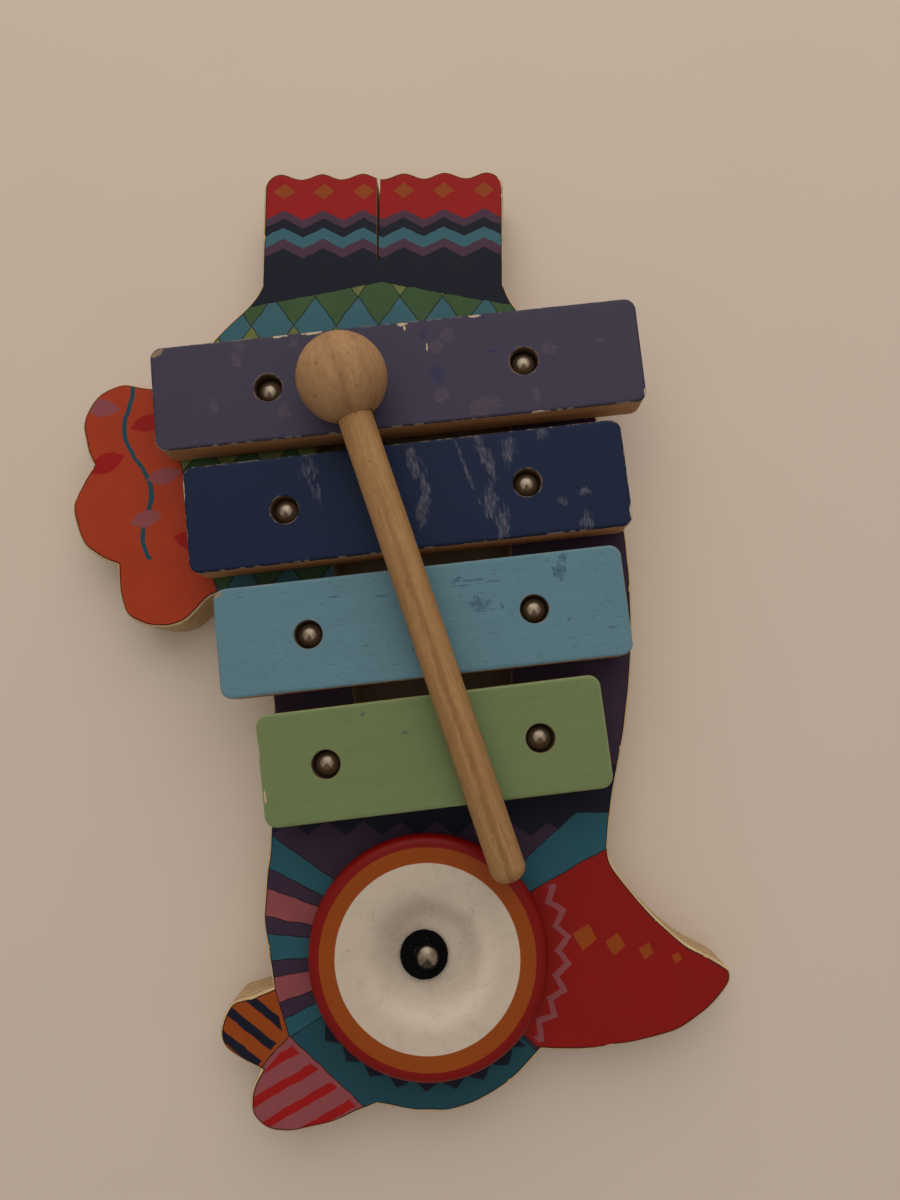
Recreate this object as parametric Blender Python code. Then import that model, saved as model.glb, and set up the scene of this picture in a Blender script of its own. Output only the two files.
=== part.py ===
"""Toy xylophone: four wooden bars and a dished cymbal nailed to a bird-shaped board, and its mallet.

Lengths are in metres and angles in degrees. +Z is up, +Y runs towards the bird's tail and
+X towards its beak. The toy lies on its flat back at z = 0, centred on the board's outline.

Plan places are made in the board's own plan: x = 0 is the middle of the board's width, and
y = 0 is the lower edge of the lowest bar. One parent empty then centres the whole toy.
"""
import math

import bmesh
import bpy
from mathutils import Matrix, Vector
from mathutils.geometry import interpolate_bezier

# Fits
CLEARANCE = 0.0003
CUT_OVERRUN = 0.002
BAR_PLAY = 0.00025

# Board
BOARD_WIDTH = 0.1996
BOARD_THICKNESS = 0.018
BOARD_RIM_RADIUS = 0.0012
TAIL_LENGTH = 0.0576
TAIL_WIDTH = 0.0772
TAIL_X_SHARE = -0.019
TAIL_FOOT_SHARE = 1.335
TAIL_CORNER_RADIUS = 0.0055
TAIL_WAVE_DEPTH = 0.0019
TAIL_WAVES = 5
HEAD_MARGIN = 0.0171
KERF_LENGTH = 0.030
KERF_MOUTH = 0.0013
KERF_TIP = 0.0005
KERF_X_SHARE = -0.027

# Resonator pocket routed into the board under the bars
POCKET_DEPTH = 0.012
POCKET_CORNER_RADIUS = 0.006
POCKET_LEFT_MARGIN = 0.009
POCKET_TAIL_MARGIN = 0.0035
POCKET_HEAD_MARGIN = 0.0075

# Bars, from the tail to the head
BAR_NAMES = ("violet", "navy", "sky", "green")
BAR_LENGTHS = (0.146, 0.130, 0.119, 0.099)
BAR_TURNS = (5.85, 6.35, 6.5, 7.1)
BAR_X_SHARES = (0.011, 0.027, 0.051, 0.069)
NAIL_SPAN_SHARES = (0.523, 0.549, 0.550, 0.618)
BAR_WIDTH = 0.032
BAR_THICKNESS = 0.012
BAR_GAP = 0.0048
BAR_CORNER_RADIUS = 0.0035
BAR_RIM_RADIUS = 0.0010
COUNTERBORE_DIAMETER = 0.0082
COUNTERBORE_DEPTH = 0.005

# Nails and the soft washers that the bars lie on
NAIL_DIAMETER = 0.003
NAIL_HEAD_DIAMETER = 0.0074
NAIL_HEAD_HEIGHT = 0.0028
NAIL_HEAD_EDGE = 0.0005
NAIL_DEPTH = 0.012
NAIL_POINT = 0.0025
NAIL_POINT_DIAMETER = 0.0008
BAR_HOLE_DIAMETER = 0.0042
WASHER_DIAMETER = 0.009
WASHER_THICKNESS = 0.003

# Cymbal
CYMBAL_DIAMETER = 0.0685
CYMBAL_GAP = 0.0078
CYMBAL_X_SHARE = 0.061
CYMBAL_SHEET = 0.0010
CYMBAL_DISH_DEPTH = 0.0055
CYMBAL_HOLE_DIAMETER = 0.0042
TOP_FELT_DIAMETER = 0.014
TOP_FELT_THICKNESS = 0.0015
TOP_FELT_EDGE = 0.0004
TOP_FELT_OFFSET = 0.0011
BOTTOM_FELT_DIAMETER = 0.012
BOTTOM_FELT_THICKNESS = 0.003

# Mallet, lying on the outer bars with its handle's end over the cymbal
MALLET_LENGTH = 0.1605
MALLET_TURN = -71.15
MALLET_ALONG_SHARE = -0.100
MALLET_ACROSS_SHARE = -0.135
BALL_DIAMETER = 0.0258
BALL_BORE_DEPTH = 0.014
HANDLE_DIAMETER = 0.010
HANDLE_END_ROUND = 0.004

# Outline of the board, counter-clockwise. The first share is of the board's width. The second
# is -1 at the crest's lowest point, 0 and 1 at the ends of the row of bars, 2 at the tail's end.
RIGHT_FLANK_SHARES = (
    (0.325, -0.132), (0.334, 0.017), (0.357, 0.183), (0.368, 0.378), (0.360, 0.573),
    (0.334, 0.762), (0.282, 0.945), (0.198, 1.184),
)
LEFT_SHOULDER_SHARES = ((-0.229, 1.241), (-0.291, 1.014), (-0.347, 0.899))
UPPER_FEATHER_SHARES = (
    (-0.347, 0.899), (-0.387, 0.902), (-0.430, 0.910), (-0.470, 0.883), (-0.490, 0.824),
    (-0.483, 0.765), (-0.471, 0.727),
)
MIDDLE_FEATHER_SHARES = (
    (-0.471, 0.727), (-0.489, 0.679), (-0.500, 0.627), (-0.483, 0.556), (-0.460, 0.525),
    (-0.426, 0.502),
)
LOWER_FEATHER_SHARES = (
    (-0.426, 0.502), (-0.420, 0.439), (-0.403, 0.388), (-0.362, 0.368), (-0.320, 0.378),
    (-0.277, 0.437), (-0.247, 0.485),
)
LEFT_FLANK_SHARES = (
    (-0.247, 0.485), (-0.214, 0.383), (-0.181, 0.228), (-0.176, 0.074), (-0.178, -0.123),
    (-0.185, -0.329), (-0.177, -0.466), (-0.168, -0.573),
)
UPPER_CREST_SHARES = (
    (-0.168, -0.573), (-0.199, -0.599), (-0.229, -0.623), (-0.244, -0.697), (-0.233, -0.760),
    (-0.183, -0.819),
)
LOWER_CREST_SHARES = (
    (-0.183, -0.819), (-0.196, -0.885), (-0.191, -0.958), (-0.153, -1.000), (-0.083, -0.974),
    (-0.014, -0.914),
)
CHIN_SHARES = (
    (-0.014, -0.914), (0.055, -0.935), (0.113, -0.920), (0.176, -0.849), (0.225, -0.748),
)
BEAK_SHARES = (
    (0.225, -0.748), (0.300, -0.745), (0.407, -0.699), (0.462, -0.631), (0.493, -0.561),
    (0.500, -0.519), (0.488, -0.486), (0.428, -0.414), (0.372, -0.300), (0.333, -0.193),
    (0.325, -0.132),
)

# Section of the cymbal's upper side: shares of its radius and of its dish's depth
DISH_SHARES = (
    (0.20, 0.00), (0.27, 0.06), (0.34, 0.31), (0.40, 0.61), (0.47, 0.80), (0.58, 0.90),
    (0.75, 0.96), (0.90, 1.00), (0.95, 0.96), (0.985, 0.78), (1.00, 0.46),
)

# Counts of facets
OUTLINE_STEPS = 3
WAVE_STEPS = 6
ROUND_STEPS = 4
RIM_STEPS = 2
NAIL_SIDES = 16
HOLE_SIDES = 24
WASHER_SIDES = 20
CYMBAL_SIDES = 56
BALL_SIDES = 32
BALL_STEPS = 14
HANDLE_SIDES = 20
DOME_STEPS = 3
SMOOTH_ANGLE = 35.0

# Colour, roughness and metallic value of each finish
FINISHES = {
    "board_paint": ((0.10, 0.06, 0.12), 0.50, 0.0),
    "violet_paint": ((0.09, 0.06, 0.16), 0.45, 0.0),
    "navy_paint": ((0.02, 0.04, 0.13), 0.45, 0.0),
    "sky_paint": ((0.20, 0.42, 0.58), 0.45, 0.0),
    "green_paint": ((0.28, 0.45, 0.20), 0.45, 0.0),
    "cymbal_paint": ((0.75, 0.72, 0.66), 0.35, 0.0),
    "mallet_wood": ((0.50, 0.30, 0.14), 0.55, 0.0),
    "nail_steel": ((0.55, 0.53, 0.50), 0.30, 1.0),
    "black_felt": ((0.015, 0.015, 0.015), 0.95, 0.0),
}

# Sizes that follow from the ones above
BAR_PITCH = BAR_WIDTH + BAR_GAP
ROW_LENGTH = len(BAR_NAMES) * BAR_PITCH - BAR_GAP
HEAD_LENGTH = CYMBAL_GAP + CYMBAL_DIAMETER + HEAD_MARGIN
BAR_BOTTOM = BOARD_THICKNESS + WASHER_THICKNESS + 2 * CLEARANCE
BAR_TOP = BAR_BOTTOM + BAR_THICKNESS
NAIL_HEAD_BOTTOM = BAR_TOP - COUNTERBORE_DEPTH + BAR_PLAY + CLEARANCE
CYMBAL_BOTTOM = BOARD_THICKNESS + BOTTOM_FELT_THICKNESS + 2 * CLEARANCE
TOP_FELT_BOTTOM = CYMBAL_BOTTOM + CYMBAL_SHEET + CLEARANCE
CYMBAL_HEAD_BOTTOM = TOP_FELT_BOTTOM + TOP_FELT_THICKNESS + CLEARANCE


def clear_scene():
    """Remove every object, so the model starts from nothing."""
    for thing in list(bpy.data.objects):
        bpy.data.objects.remove(thing, do_unlink=True)


def make_finish(name):
    """A new plain material with the colour, roughness and metallic value of a named finish."""
    colour, roughness, metallic = FINISHES[name]
    finish = bpy.data.materials.new(name)
    finish.use_nodes = True
    shader = finish.node_tree.nodes["Principled BSDF"]
    shader.inputs["Base Color"].default_value = (*colour, 1.0)
    shader.inputs["Roughness"].default_value = roughness
    shader.inputs["Metallic"].default_value = metallic
    return finish


def make_object(name, shape, parent, place=(0.0, 0.0, 0.0), turn=0.0):
    """Put a shape into a named object at its place under its parent."""
    mesh = bpy.data.meshes.new(name)
    bmesh.ops.recalc_face_normals(shape, faces=shape.faces)
    shape.to_mesh(mesh)
    shape.free()
    thing = bpy.data.objects.new(name, mesh)
    thing.parent = parent
    thing.location = place
    thing.rotation_euler.z = math.radians(turn)
    bpy.context.collection.objects.link(thing)
    return thing


def make_piece(name, shape, finish, parent, place=(0.0, 0.0, 0.0), turn=0.0):
    """Make a piece of the toy, smooth where it is round, with its own material."""
    piece = make_object(name, shape, parent, place, turn)
    piece.data.materials.append(make_finish(finish))
    piece.data.shade_smooth()
    piece.data.set_sharp_from_angle(angle=math.radians(SMOOTH_ANGLE))
    return piece


def make_empty(name, parent=None):
    """A guide that carries other pieces and has no shape of its own."""
    guide = bpy.data.objects.new(name, None)
    guide.parent = parent
    bpy.context.collection.objects.link(guide)
    return guide


def cut(piece, cutter):
    """Cut one shape out of a piece, and keep the cutter as a wire guide."""
    cutter.hide_render = True
    cutter.display_type = "WIRE"
    difference = piece.modifiers.new(cutter.name, "BOOLEAN")
    difference.operation = "DIFFERENCE"
    difference.solver = "EXACT"
    difference.object = cutter


def smooth_run(points, steps):
    """Points on a smooth curve through the given ones, without its last point."""
    ends = [points[0], *points, points[-1]]
    curve = []
    for before, start, end, after in zip(ends, ends[1:], ends[2:], ends[3:]):
        start_handle = start + (end - before) / 6
        end_handle = end - (after - start) / 6
        curve += interpolate_bezier(start, start_handle, end_handle, end, steps + 1)[:-1]
    return curve


def prism(outline, bottom, top, rim_radius=0.0, corner_radius=0.0):
    """An upright solid on an outline, with rounded corners and rounded rims where asked."""
    shape = bmesh.new()
    corners = [shape.verts.new((x, y, bottom + rim_radius)) for x, y in outline]
    base = shape.faces.new(corners)
    lifted = bmesh.ops.extrude_face_region(shape, geom=[base])["geom"]
    rise = Vector((0.0, 0.0, top - bottom - 2 * rim_radius))
    bmesh.ops.translate(shape, verts=[v for v in lifted if isinstance(v, bmesh.types.BMVert)], vec=rise)
    bmesh.ops.recalc_face_normals(shape, faces=shape.faces)
    if corner_radius:
        upright = [edge for edge in shape.edges if edge.verts[0].co.z != edge.verts[1].co.z]
        bmesh.ops.bevel(
            shape, geom=upright, offset=corner_radius, segments=ROUND_STEPS, profile=0.5, affect="EDGES"
        )
    if rim_radius:
        round_rims(shape, rim_radius)
    return shape


def round_rims(shape, radius):
    """Round the top and bottom rims by insetting and raising each cap in a quarter circle."""
    shape.normal_update()
    caps = [face for face in shape.faces if abs(face.normal.z) > 0.9]
    for cap in caps:
        for step in range(RIM_STEPS):
            low = math.pi / 2 * step / RIM_STEPS
            high = math.pi / 2 * (step + 1) / RIM_STEPS
            bmesh.ops.inset_region(
                shape,
                faces=[cap],
                thickness=radius * (math.cos(low) - math.cos(high)),
                depth=radius * (math.sin(high) - math.sin(low)),
                use_even_offset=True,
                use_boundary=True,
            )


def turned(profile, sides, closed=False):
    """A solid turned about the Z axis from a profile of (radius, height) points."""
    shape = bmesh.new()
    points = [shape.verts.new((radius, 0.0, height)) for radius, height in profile]
    edges = [shape.edges.new(pair) for pair in zip(points, points[1:])]
    if closed:
        edges.append(shape.edges.new((points[-1], points[0])))
    bmesh.ops.spin(
        shape,
        geom=points + edges,
        axis=(0.0, 0.0, 1.0),
        cent=(0.0, 0.0, 0.0),
        angle=math.tau,
        steps=sides,
        use_merge=True,
    )
    bmesh.ops.remove_doubles(shape, verts=shape.verts, dist=CLEARANCE / 100)
    return shape


def ring(inner_diameter, outer_diameter, thickness, edge=0.0):
    """Profile of a flat ring on z = 0, with its outer corners broken by the edge size."""
    inner = inner_diameter / 2
    outer = outer_diameter / 2
    if not edge:
        return [(inner, 0.0), (outer, 0.0), (outer, thickness), (inner, thickness)]
    return [
        (inner, 0.0), (outer - edge, 0.0), (outer, edge), (outer, thickness - edge),
        (outer - edge, thickness), (inner, thickness),
    ]


def board_place(x_share, length_share):
    """A plan place on the board from its shares of the width and of the three lengths."""
    if length_share < 0.0:
        y = length_share * HEAD_LENGTH
    elif length_share <= 1.0:
        y = length_share * ROW_LENGTH
    else:
        y = ROW_LENGTH + (length_share - 1.0) * TAIL_LENGTH
    return Vector((x_share * BOARD_WIDTH, y))


def tail_side(side):
    """The foot of the tail's straight side, on the right for 1 and on the left for -1."""
    foot = board_place(TAIL_X_SHARE, TAIL_FOOT_SHARE)
    return Vector((foot.x + side * TAIL_WIDTH / 2, foot.y))


def tail_end():
    """The tail's wavy end between its two rounded corners, from right to left."""
    end = ROW_LENGTH + TAIL_LENGTH
    right = tail_side(1).x - TAIL_CORNER_RADIUS
    left = tail_side(-1).x + TAIL_CORNER_RADIUS
    points = []
    for step in range(ROUND_STEPS):
        angle = math.pi / 2 * step / ROUND_STEPS
        across = TAIL_CORNER_RADIUS * math.cos(angle)
        points.append(Vector((right + across, end - TAIL_CORNER_RADIUS * (1 - math.sin(angle)))))
    for step in range(TAIL_WAVES * WAVE_STEPS):
        way = step / (TAIL_WAVES * WAVE_STEPS)
        dip = TAIL_WAVE_DEPTH / 2 * (1 - math.cos(math.tau * TAIL_WAVES * way))
        points.append(Vector((right + (left - right) * way, end - dip)))
    for step in range(ROUND_STEPS + 1):
        angle = math.pi / 2 * step / ROUND_STEPS
        across = TAIL_CORNER_RADIUS * math.sin(angle)
        points.append(Vector((left - across, end - TAIL_CORNER_RADIUS * (1 - math.cos(angle)))))
    return points


def board_outline():
    """The whole outline, counter-clockwise: smooth runs that meet at the notches."""
    right_flank = [board_place(*shares) for shares in RIGHT_FLANK_SHARES] + [tail_side(1)]
    left_shoulder = [tail_side(-1)] + [board_place(*shares) for shares in LEFT_SHOULDER_SHARES]
    outline = smooth_run(right_flank, OUTLINE_STEPS) + [tail_side(1)]
    outline += tail_end()
    outline += smooth_run(left_shoulder, OUTLINE_STEPS)
    runs = (
        UPPER_FEATHER_SHARES, MIDDLE_FEATHER_SHARES, LOWER_FEATHER_SHARES, LEFT_FLANK_SHARES,
        UPPER_CREST_SHARES, LOWER_CREST_SHARES, CHIN_SHARES, BEAK_SHARES,
    )
    for run in runs:
        outline += smooth_run([board_place(*shares) for shares in run], OUTLINE_STEPS)
    return outline


def bar_centre(row):
    """Plan place of a bar's middle, with row 0 at the tail."""
    rows_below = len(BAR_NAMES) - 1 - row
    return Vector((BAR_X_SHARES[row] * BOARD_WIDTH, BAR_WIDTH / 2 + rows_below * BAR_PITCH))


def bar_direction(row):
    """Unit vector along a bar, towards its right end."""
    turn = math.radians(BAR_TURNS[row])
    return Vector((math.cos(turn), math.sin(turn)))


def nail_reach(row):
    """Distance of a bar's nails from its middle."""
    return BAR_LENGTHS[row] * NAIL_SPAN_SHARES[row] / 2


def nail_place(row, side, margin=0.0):
    """Plan place of a bar's nail, or of a point set in from it by a margin along the bar."""
    return bar_centre(row) + bar_direction(row) * side * (nail_reach(row) - margin)


def cymbal_place():
    """Plan place of the cymbal's nail."""
    return Vector((CYMBAL_X_SHARE * BOARD_WIDTH, -CYMBAL_GAP - CYMBAL_DIAMETER / 2))


def nail_holes():
    """Cutter for the blind holes that hold the nails in the board."""
    places = [nail_place(row, side) for row in range(len(BAR_NAMES)) for side in (-1, 1)]
    places.append(cymbal_place())
    radius = NAIL_DIAMETER / 2 + CLEARANCE
    floor = BOARD_THICKNESS - NAIL_DEPTH - CLEARANCE
    top = BOARD_THICKNESS + CUT_OVERRUN
    holes = bmesh.new()
    for place in places:
        spot = Matrix.Translation((place.x, place.y, (floor + top) / 2))
        bmesh.ops.create_cone(
            holes, cap_ends=True, segments=NAIL_SIDES, radius1=radius, radius2=radius,
            depth=top - floor, matrix=spot,
        )
    return holes


def pocket_shape():
    """Cutter for the resonator pocket, whose sides run between the two rows of nails."""
    last = len(BAR_NAMES) - 1
    corners = [
        nail_place(last, -1, POCKET_LEFT_MARGIN),
        nail_place(last, 1, POCKET_HEAD_MARGIN),
        nail_place(0, 1, POCKET_TAIL_MARGIN),
        nail_place(0, -1, POCKET_LEFT_MARGIN),
    ]
    floor = BOARD_THICKNESS - POCKET_DEPTH
    return prism(corners, floor, BOARD_THICKNESS + CUT_OVERRUN, corner_radius=POCKET_CORNER_RADIUS)


def kerf_shape():
    """Cutter for the saw kerf that splits the tail, narrowing to its inner end."""
    end = ROW_LENGTH + TAIL_LENGTH
    x = KERF_X_SHARE * BOARD_WIDTH
    slit = [
        (x - KERF_MOUTH / 2, end + CUT_OVERRUN),
        (x - KERF_TIP / 2, end - KERF_LENGTH),
        (x + KERF_TIP / 2, end - KERF_LENGTH),
        (x + KERF_MOUTH / 2, end + CUT_OVERRUN),
    ]
    return prism(slit, -CUT_OVERRUN, BOARD_THICKNESS + CUT_OVERRUN)


def build_board(outline, root):
    """The board, with its pocket, its kerf and its nail holes cut out."""
    shape = prism(outline, 0.0, BOARD_THICKNESS, rim_radius=BOARD_RIM_RADIUS)
    board = make_piece("body_board", shape, "board_paint", root)
    cut(board, make_object("pocket_cutter", pocket_shape(), root))
    cut(board, make_object("kerf_cutter", kerf_shape(), root))
    cut(board, make_object("nail_hole_cutter", nail_holes(), root))


def stepped_hole():
    """Profile of a bar's nail hole, wide at the top for the nail's head."""
    narrow = BAR_HOLE_DIAMETER / 2
    wide = COUNTERBORE_DIAMETER / 2
    ledge = BAR_THICKNESS - COUNTERBORE_DEPTH
    return [
        (0.0, -CUT_OVERRUN), (narrow, -CUT_OVERRUN), (narrow, ledge), (wide, ledge),
        (wide, BAR_THICKNESS + CUT_OVERRUN), (0.0, BAR_THICKNESS + CUT_OVERRUN),
    ]


def build_bar(row, root):
    """One bar with its two stepped holes. Its origin is at the middle of its underside."""
    name = BAR_NAMES[row]
    half_length = BAR_LENGTHS[row] / 2
    half_width = BAR_WIDTH / 2
    outline = [
        (-half_length, -half_width), (half_length, -half_width),
        (half_length, half_width), (-half_length, half_width),
    ]
    shape = prism(outline, 0.0, BAR_THICKNESS, BAR_RIM_RADIUS, BAR_CORNER_RADIUS)
    place = bar_centre(row).to_3d() + Vector((0.0, 0.0, BAR_BOTTOM))
    bar = make_piece(f"bar_{name}", shape, f"{name}_paint", root, place, BAR_TURNS[row])
    for side, word in ((-1, "left"), (1, "right")):
        hole = turned(stepped_hole(), HOLE_SIDES)
        spot = (side * nail_reach(row), 0.0, 0.0)
        cut(bar, make_object(f"{name}_{word}_hole_cutter", hole, bar, spot))


def nail_profile(head_bottom):
    """Profile of a nail from its point in the board to the top of its domed head."""
    shank = NAIL_DIAMETER / 2
    head = NAIL_HEAD_DIAMETER / 2
    tip = BOARD_THICKNESS - NAIL_DEPTH
    rim = head_bottom + NAIL_HEAD_EDGE
    dome = NAIL_HEAD_HEIGHT - NAIL_HEAD_EDGE
    points = [
        (0.0, tip), (NAIL_POINT_DIAMETER / 2, tip), (shank, tip + NAIL_POINT),
        (shank, head_bottom), (head, head_bottom),
    ]
    for step in range(DOME_STEPS):
        angle = math.pi / 2 * step / DOME_STEPS
        points.append((head * math.cos(angle), rim + dome * math.sin(angle)))
    return points + [(0.0, rim + dome)]


def build_nails_and_washers(root):
    """A nail and a soft washer at each end of each bar."""
    hole = NAIL_DIAMETER + 2 * CLEARANCE
    for row, name in enumerate(BAR_NAMES):
        for side, word in ((-1, "left"), (1, "right")):
            place = nail_place(row, side).to_3d()
            nail = turned(nail_profile(NAIL_HEAD_BOTTOM), NAIL_SIDES)
            make_piece(f"nail_{name}_{word}", nail, "nail_steel", root, place)
            seat = place + Vector((0.0, 0.0, BOARD_THICKNESS + CLEARANCE))
            washer = turned(ring(hole, WASHER_DIAMETER, WASHER_THICKNESS), WASHER_SIDES, closed=True)
            make_piece(f"washer_{name}_{word}", washer, "black_felt", root, seat)


def dish_profile():
    """Section of the cymbal's sheet: its upper side, then its lower side back to the hole."""
    radius = CYMBAL_DIAMETER / 2
    upper = [Vector((CYMBAL_HOLE_DIAMETER / 2, CYMBAL_SHEET))]
    for radius_share, depth_share in DISH_SHARES:
        upper.append(Vector((radius_share * radius, CYMBAL_SHEET + depth_share * CYMBAL_DISH_DEPTH)))
    lower = []
    for index, point in enumerate(upper):
        before = upper[max(index - 1, 0)]
        after = upper[min(index + 1, len(upper) - 1)]
        along = (after - before).normalized()
        lower.append(point + Vector((along.y, -along.x)) * CYMBAL_SHEET)
    return upper + lower[::-1]


def build_cymbal(root):
    """The dished cymbal between its two felts, on its own nail."""
    place = cymbal_place().to_3d()
    lift = Vector((0.0, 0.0, 1.0))
    hole = NAIL_DIAMETER + 2 * CLEARANCE
    dish = turned(dish_profile(), CYMBAL_SIDES, closed=True)
    make_piece("cymbal", dish, "cymbal_paint", root, place + lift * CYMBAL_BOTTOM)
    bottom = turned(ring(hole, BOTTOM_FELT_DIAMETER, BOTTOM_FELT_THICKNESS), WASHER_SIDES, closed=True)
    seat = place + lift * (BOARD_THICKNESS + CLEARANCE)
    make_piece("cymbal_bottom_felt", bottom, "black_felt", root, seat)
    disc = ring(hole + 2 * TOP_FELT_OFFSET, TOP_FELT_DIAMETER, TOP_FELT_THICKNESS, TOP_FELT_EDGE)
    top = turned(disc, HOLE_SIDES, closed=True)
    slipped = place - Vector((TOP_FELT_OFFSET, 0.0, 0.0))
    make_piece("cymbal_top_felt", top, "black_felt", root, slipped + lift * TOP_FELT_BOTTOM)
    nail = turned(nail_profile(CYMBAL_HEAD_BOTTOM), NAIL_SIDES)
    make_piece("cymbal_nail", nail, "nail_steel", root, place)


def mallet_slope(start, direction):
    """Slope of the handle, whose ball lies on the first bar and whose shaft lies on the last.

    The shaft touches the far edge of the last bar or, where it is too short for that, the
    bar's top at its own end.
    """
    last = len(BAR_NAMES) - 1
    across = Vector((-bar_direction(last).y, bar_direction(last).x))
    edge = bar_centre(last) - across * BAR_WIDTH / 2
    to_edge = (edge - start).dot(across) / direction.dot(across)
    to_end = MALLET_LENGTH - BALL_DIAMETER / 2 - HANDLE_END_ROUND
    distance = min(to_edge, to_end)
    span = math.hypot(BALL_DIAMETER / 2, distance)
    return math.acos(HANDLE_DIAMETER / 2 / span) - math.atan2(distance, BALL_DIAMETER / 2)


def ball_profile():
    """Section of the mallet's ball from its far pole round to its bore, and the bore."""
    radius = BALL_DIAMETER / 2
    bore = HANDLE_DIAMETER / 2 + CLEARANCE
    mouth = math.asin(bore / radius)
    points = []
    for step in range(BALL_STEPS + 1):
        angle = math.pi - (math.pi - mouth) * step / BALL_STEPS
        points.append((radius * math.sin(angle), radius * math.cos(angle)))
    floor = radius - BALL_BORE_DEPTH
    return points + [(bore, floor), (0.0, floor)]


def handle_profile():
    """Section of the handle from the bottom of the ball's bore to its rounded end."""
    radius = HANDLE_DIAMETER / 2
    start = BALL_DIAMETER / 2 - BALL_BORE_DEPTH + CLEARANCE
    end = MALLET_LENGTH - BALL_DIAMETER / 2
    points = [(0.0, start), (radius, start)]
    for step in range(ROUND_STEPS):
        angle = math.pi / 2 * step / ROUND_STEPS
        reach = end - HANDLE_END_ROUND * (1 - math.sin(angle))
        points.append((radius * math.cos(angle), reach))
    return points + [(0.0, end)]


def build_mallet(root):
    """The mallet, lying across the bars. Its guide stands in the ball's middle."""
    along = bar_direction(0)
    across = Vector((-along.y, along.x))
    start = bar_centre(0) + along * MALLET_ALONG_SHARE * BAR_LENGTHS[0]
    start += across * MALLET_ACROSS_SHARE * BAR_WIDTH
    turn = math.radians(MALLET_TURN)
    direction = Vector((math.cos(turn), math.sin(turn)))
    slope = mallet_slope(start, direction)
    pointing = Vector((direction.x * math.cos(slope), direction.y * math.cos(slope), -math.sin(slope)))
    guide = make_empty("mallet_guide", root)
    guide.location = (start.x, start.y, BAR_TOP + BALL_DIAMETER / 2 + CLEARANCE)
    guide.rotation_euler = pointing.to_track_quat("Z", "Y").to_euler()
    make_piece("mallet_head", turned(ball_profile(), BALL_SIDES), "mallet_wood", guide)
    make_piece("mallet_handle", turned(handle_profile(), HANDLE_SIDES), "mallet_wood", guide)


def build_xylophone():
    """Build every piece under one guide that centres the board on the origin."""
    outline = board_outline()
    root = make_empty("xylophone_guide")
    root.location.x = -(min(p.x for p in outline) + max(p.x for p in outline)) / 2
    root.location.y = -(min(p.y for p in outline) + max(p.y for p in outline)) / 2
    build_board(outline, root)
    for row in range(len(BAR_NAMES)):
        build_bar(row, root)
    build_nails_and_washers(root)
    build_cymbal(root)
    build_mallet(root)


clear_scene()
build_xylophone()
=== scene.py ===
"""Looks of the toy xylophone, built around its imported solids.

Lengths in the shapes' classes are in metres, in the frame's own axes. Patterns are worked out in
millimetres on Object coordinates, because every finished piece has its place in its mesh.
"""

import logging
import math
from dataclasses import dataclass, field
from enum import Enum
from functools import reduce
from typing import Union

import bmesh
import bpy
import numpy as np
from mathutils import Matrix, Vector


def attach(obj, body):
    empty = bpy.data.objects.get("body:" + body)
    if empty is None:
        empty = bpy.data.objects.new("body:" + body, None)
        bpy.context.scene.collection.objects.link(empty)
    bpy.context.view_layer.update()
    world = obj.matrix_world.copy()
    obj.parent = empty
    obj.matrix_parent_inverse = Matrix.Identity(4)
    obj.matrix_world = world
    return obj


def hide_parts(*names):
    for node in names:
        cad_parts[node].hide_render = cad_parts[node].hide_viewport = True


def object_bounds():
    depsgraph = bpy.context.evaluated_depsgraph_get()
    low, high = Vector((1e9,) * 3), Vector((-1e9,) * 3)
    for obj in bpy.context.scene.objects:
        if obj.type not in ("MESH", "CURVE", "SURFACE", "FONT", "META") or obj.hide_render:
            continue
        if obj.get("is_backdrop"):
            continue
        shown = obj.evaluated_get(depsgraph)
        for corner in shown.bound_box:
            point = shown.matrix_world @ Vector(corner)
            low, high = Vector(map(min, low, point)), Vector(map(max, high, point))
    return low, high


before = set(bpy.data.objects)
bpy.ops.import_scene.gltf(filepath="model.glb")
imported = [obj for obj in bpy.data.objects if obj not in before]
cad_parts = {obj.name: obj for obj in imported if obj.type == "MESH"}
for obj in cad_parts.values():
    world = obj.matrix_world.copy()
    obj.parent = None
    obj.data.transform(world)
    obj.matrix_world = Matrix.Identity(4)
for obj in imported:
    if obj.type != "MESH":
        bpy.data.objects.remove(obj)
CAD_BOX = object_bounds()

MM = 0.001
SMOOTH_ANGLE = math.radians(24.0)
WELD = 1.0e-6

# What Mapping nodes are given: no move or turn, a size that is kept, and a size or a rate that
# takes the height away, because a coordinate divided by BIG is nearly nothing
BIG = 1.0e4
ZERO = (0.0, 0.0, 0.0)
ONE = (1.0, 1.0, 1.0)
PLAN = (1.0, 1.0, BIG)
FLATTENED = (1.0, 1.0, 0.0)

Colour = tuple[float, float, float]
Place = tuple[float, float, float]
Point = tuple[float, float]
Socket = bpy.types.NodeSocket
Source = Union["Signal", Socket, float, tuple]
Owner = Union[bpy.types.Material, bpy.types.World]

log = logging.getLogger("xylophone")


# Shader arithmetic


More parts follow.
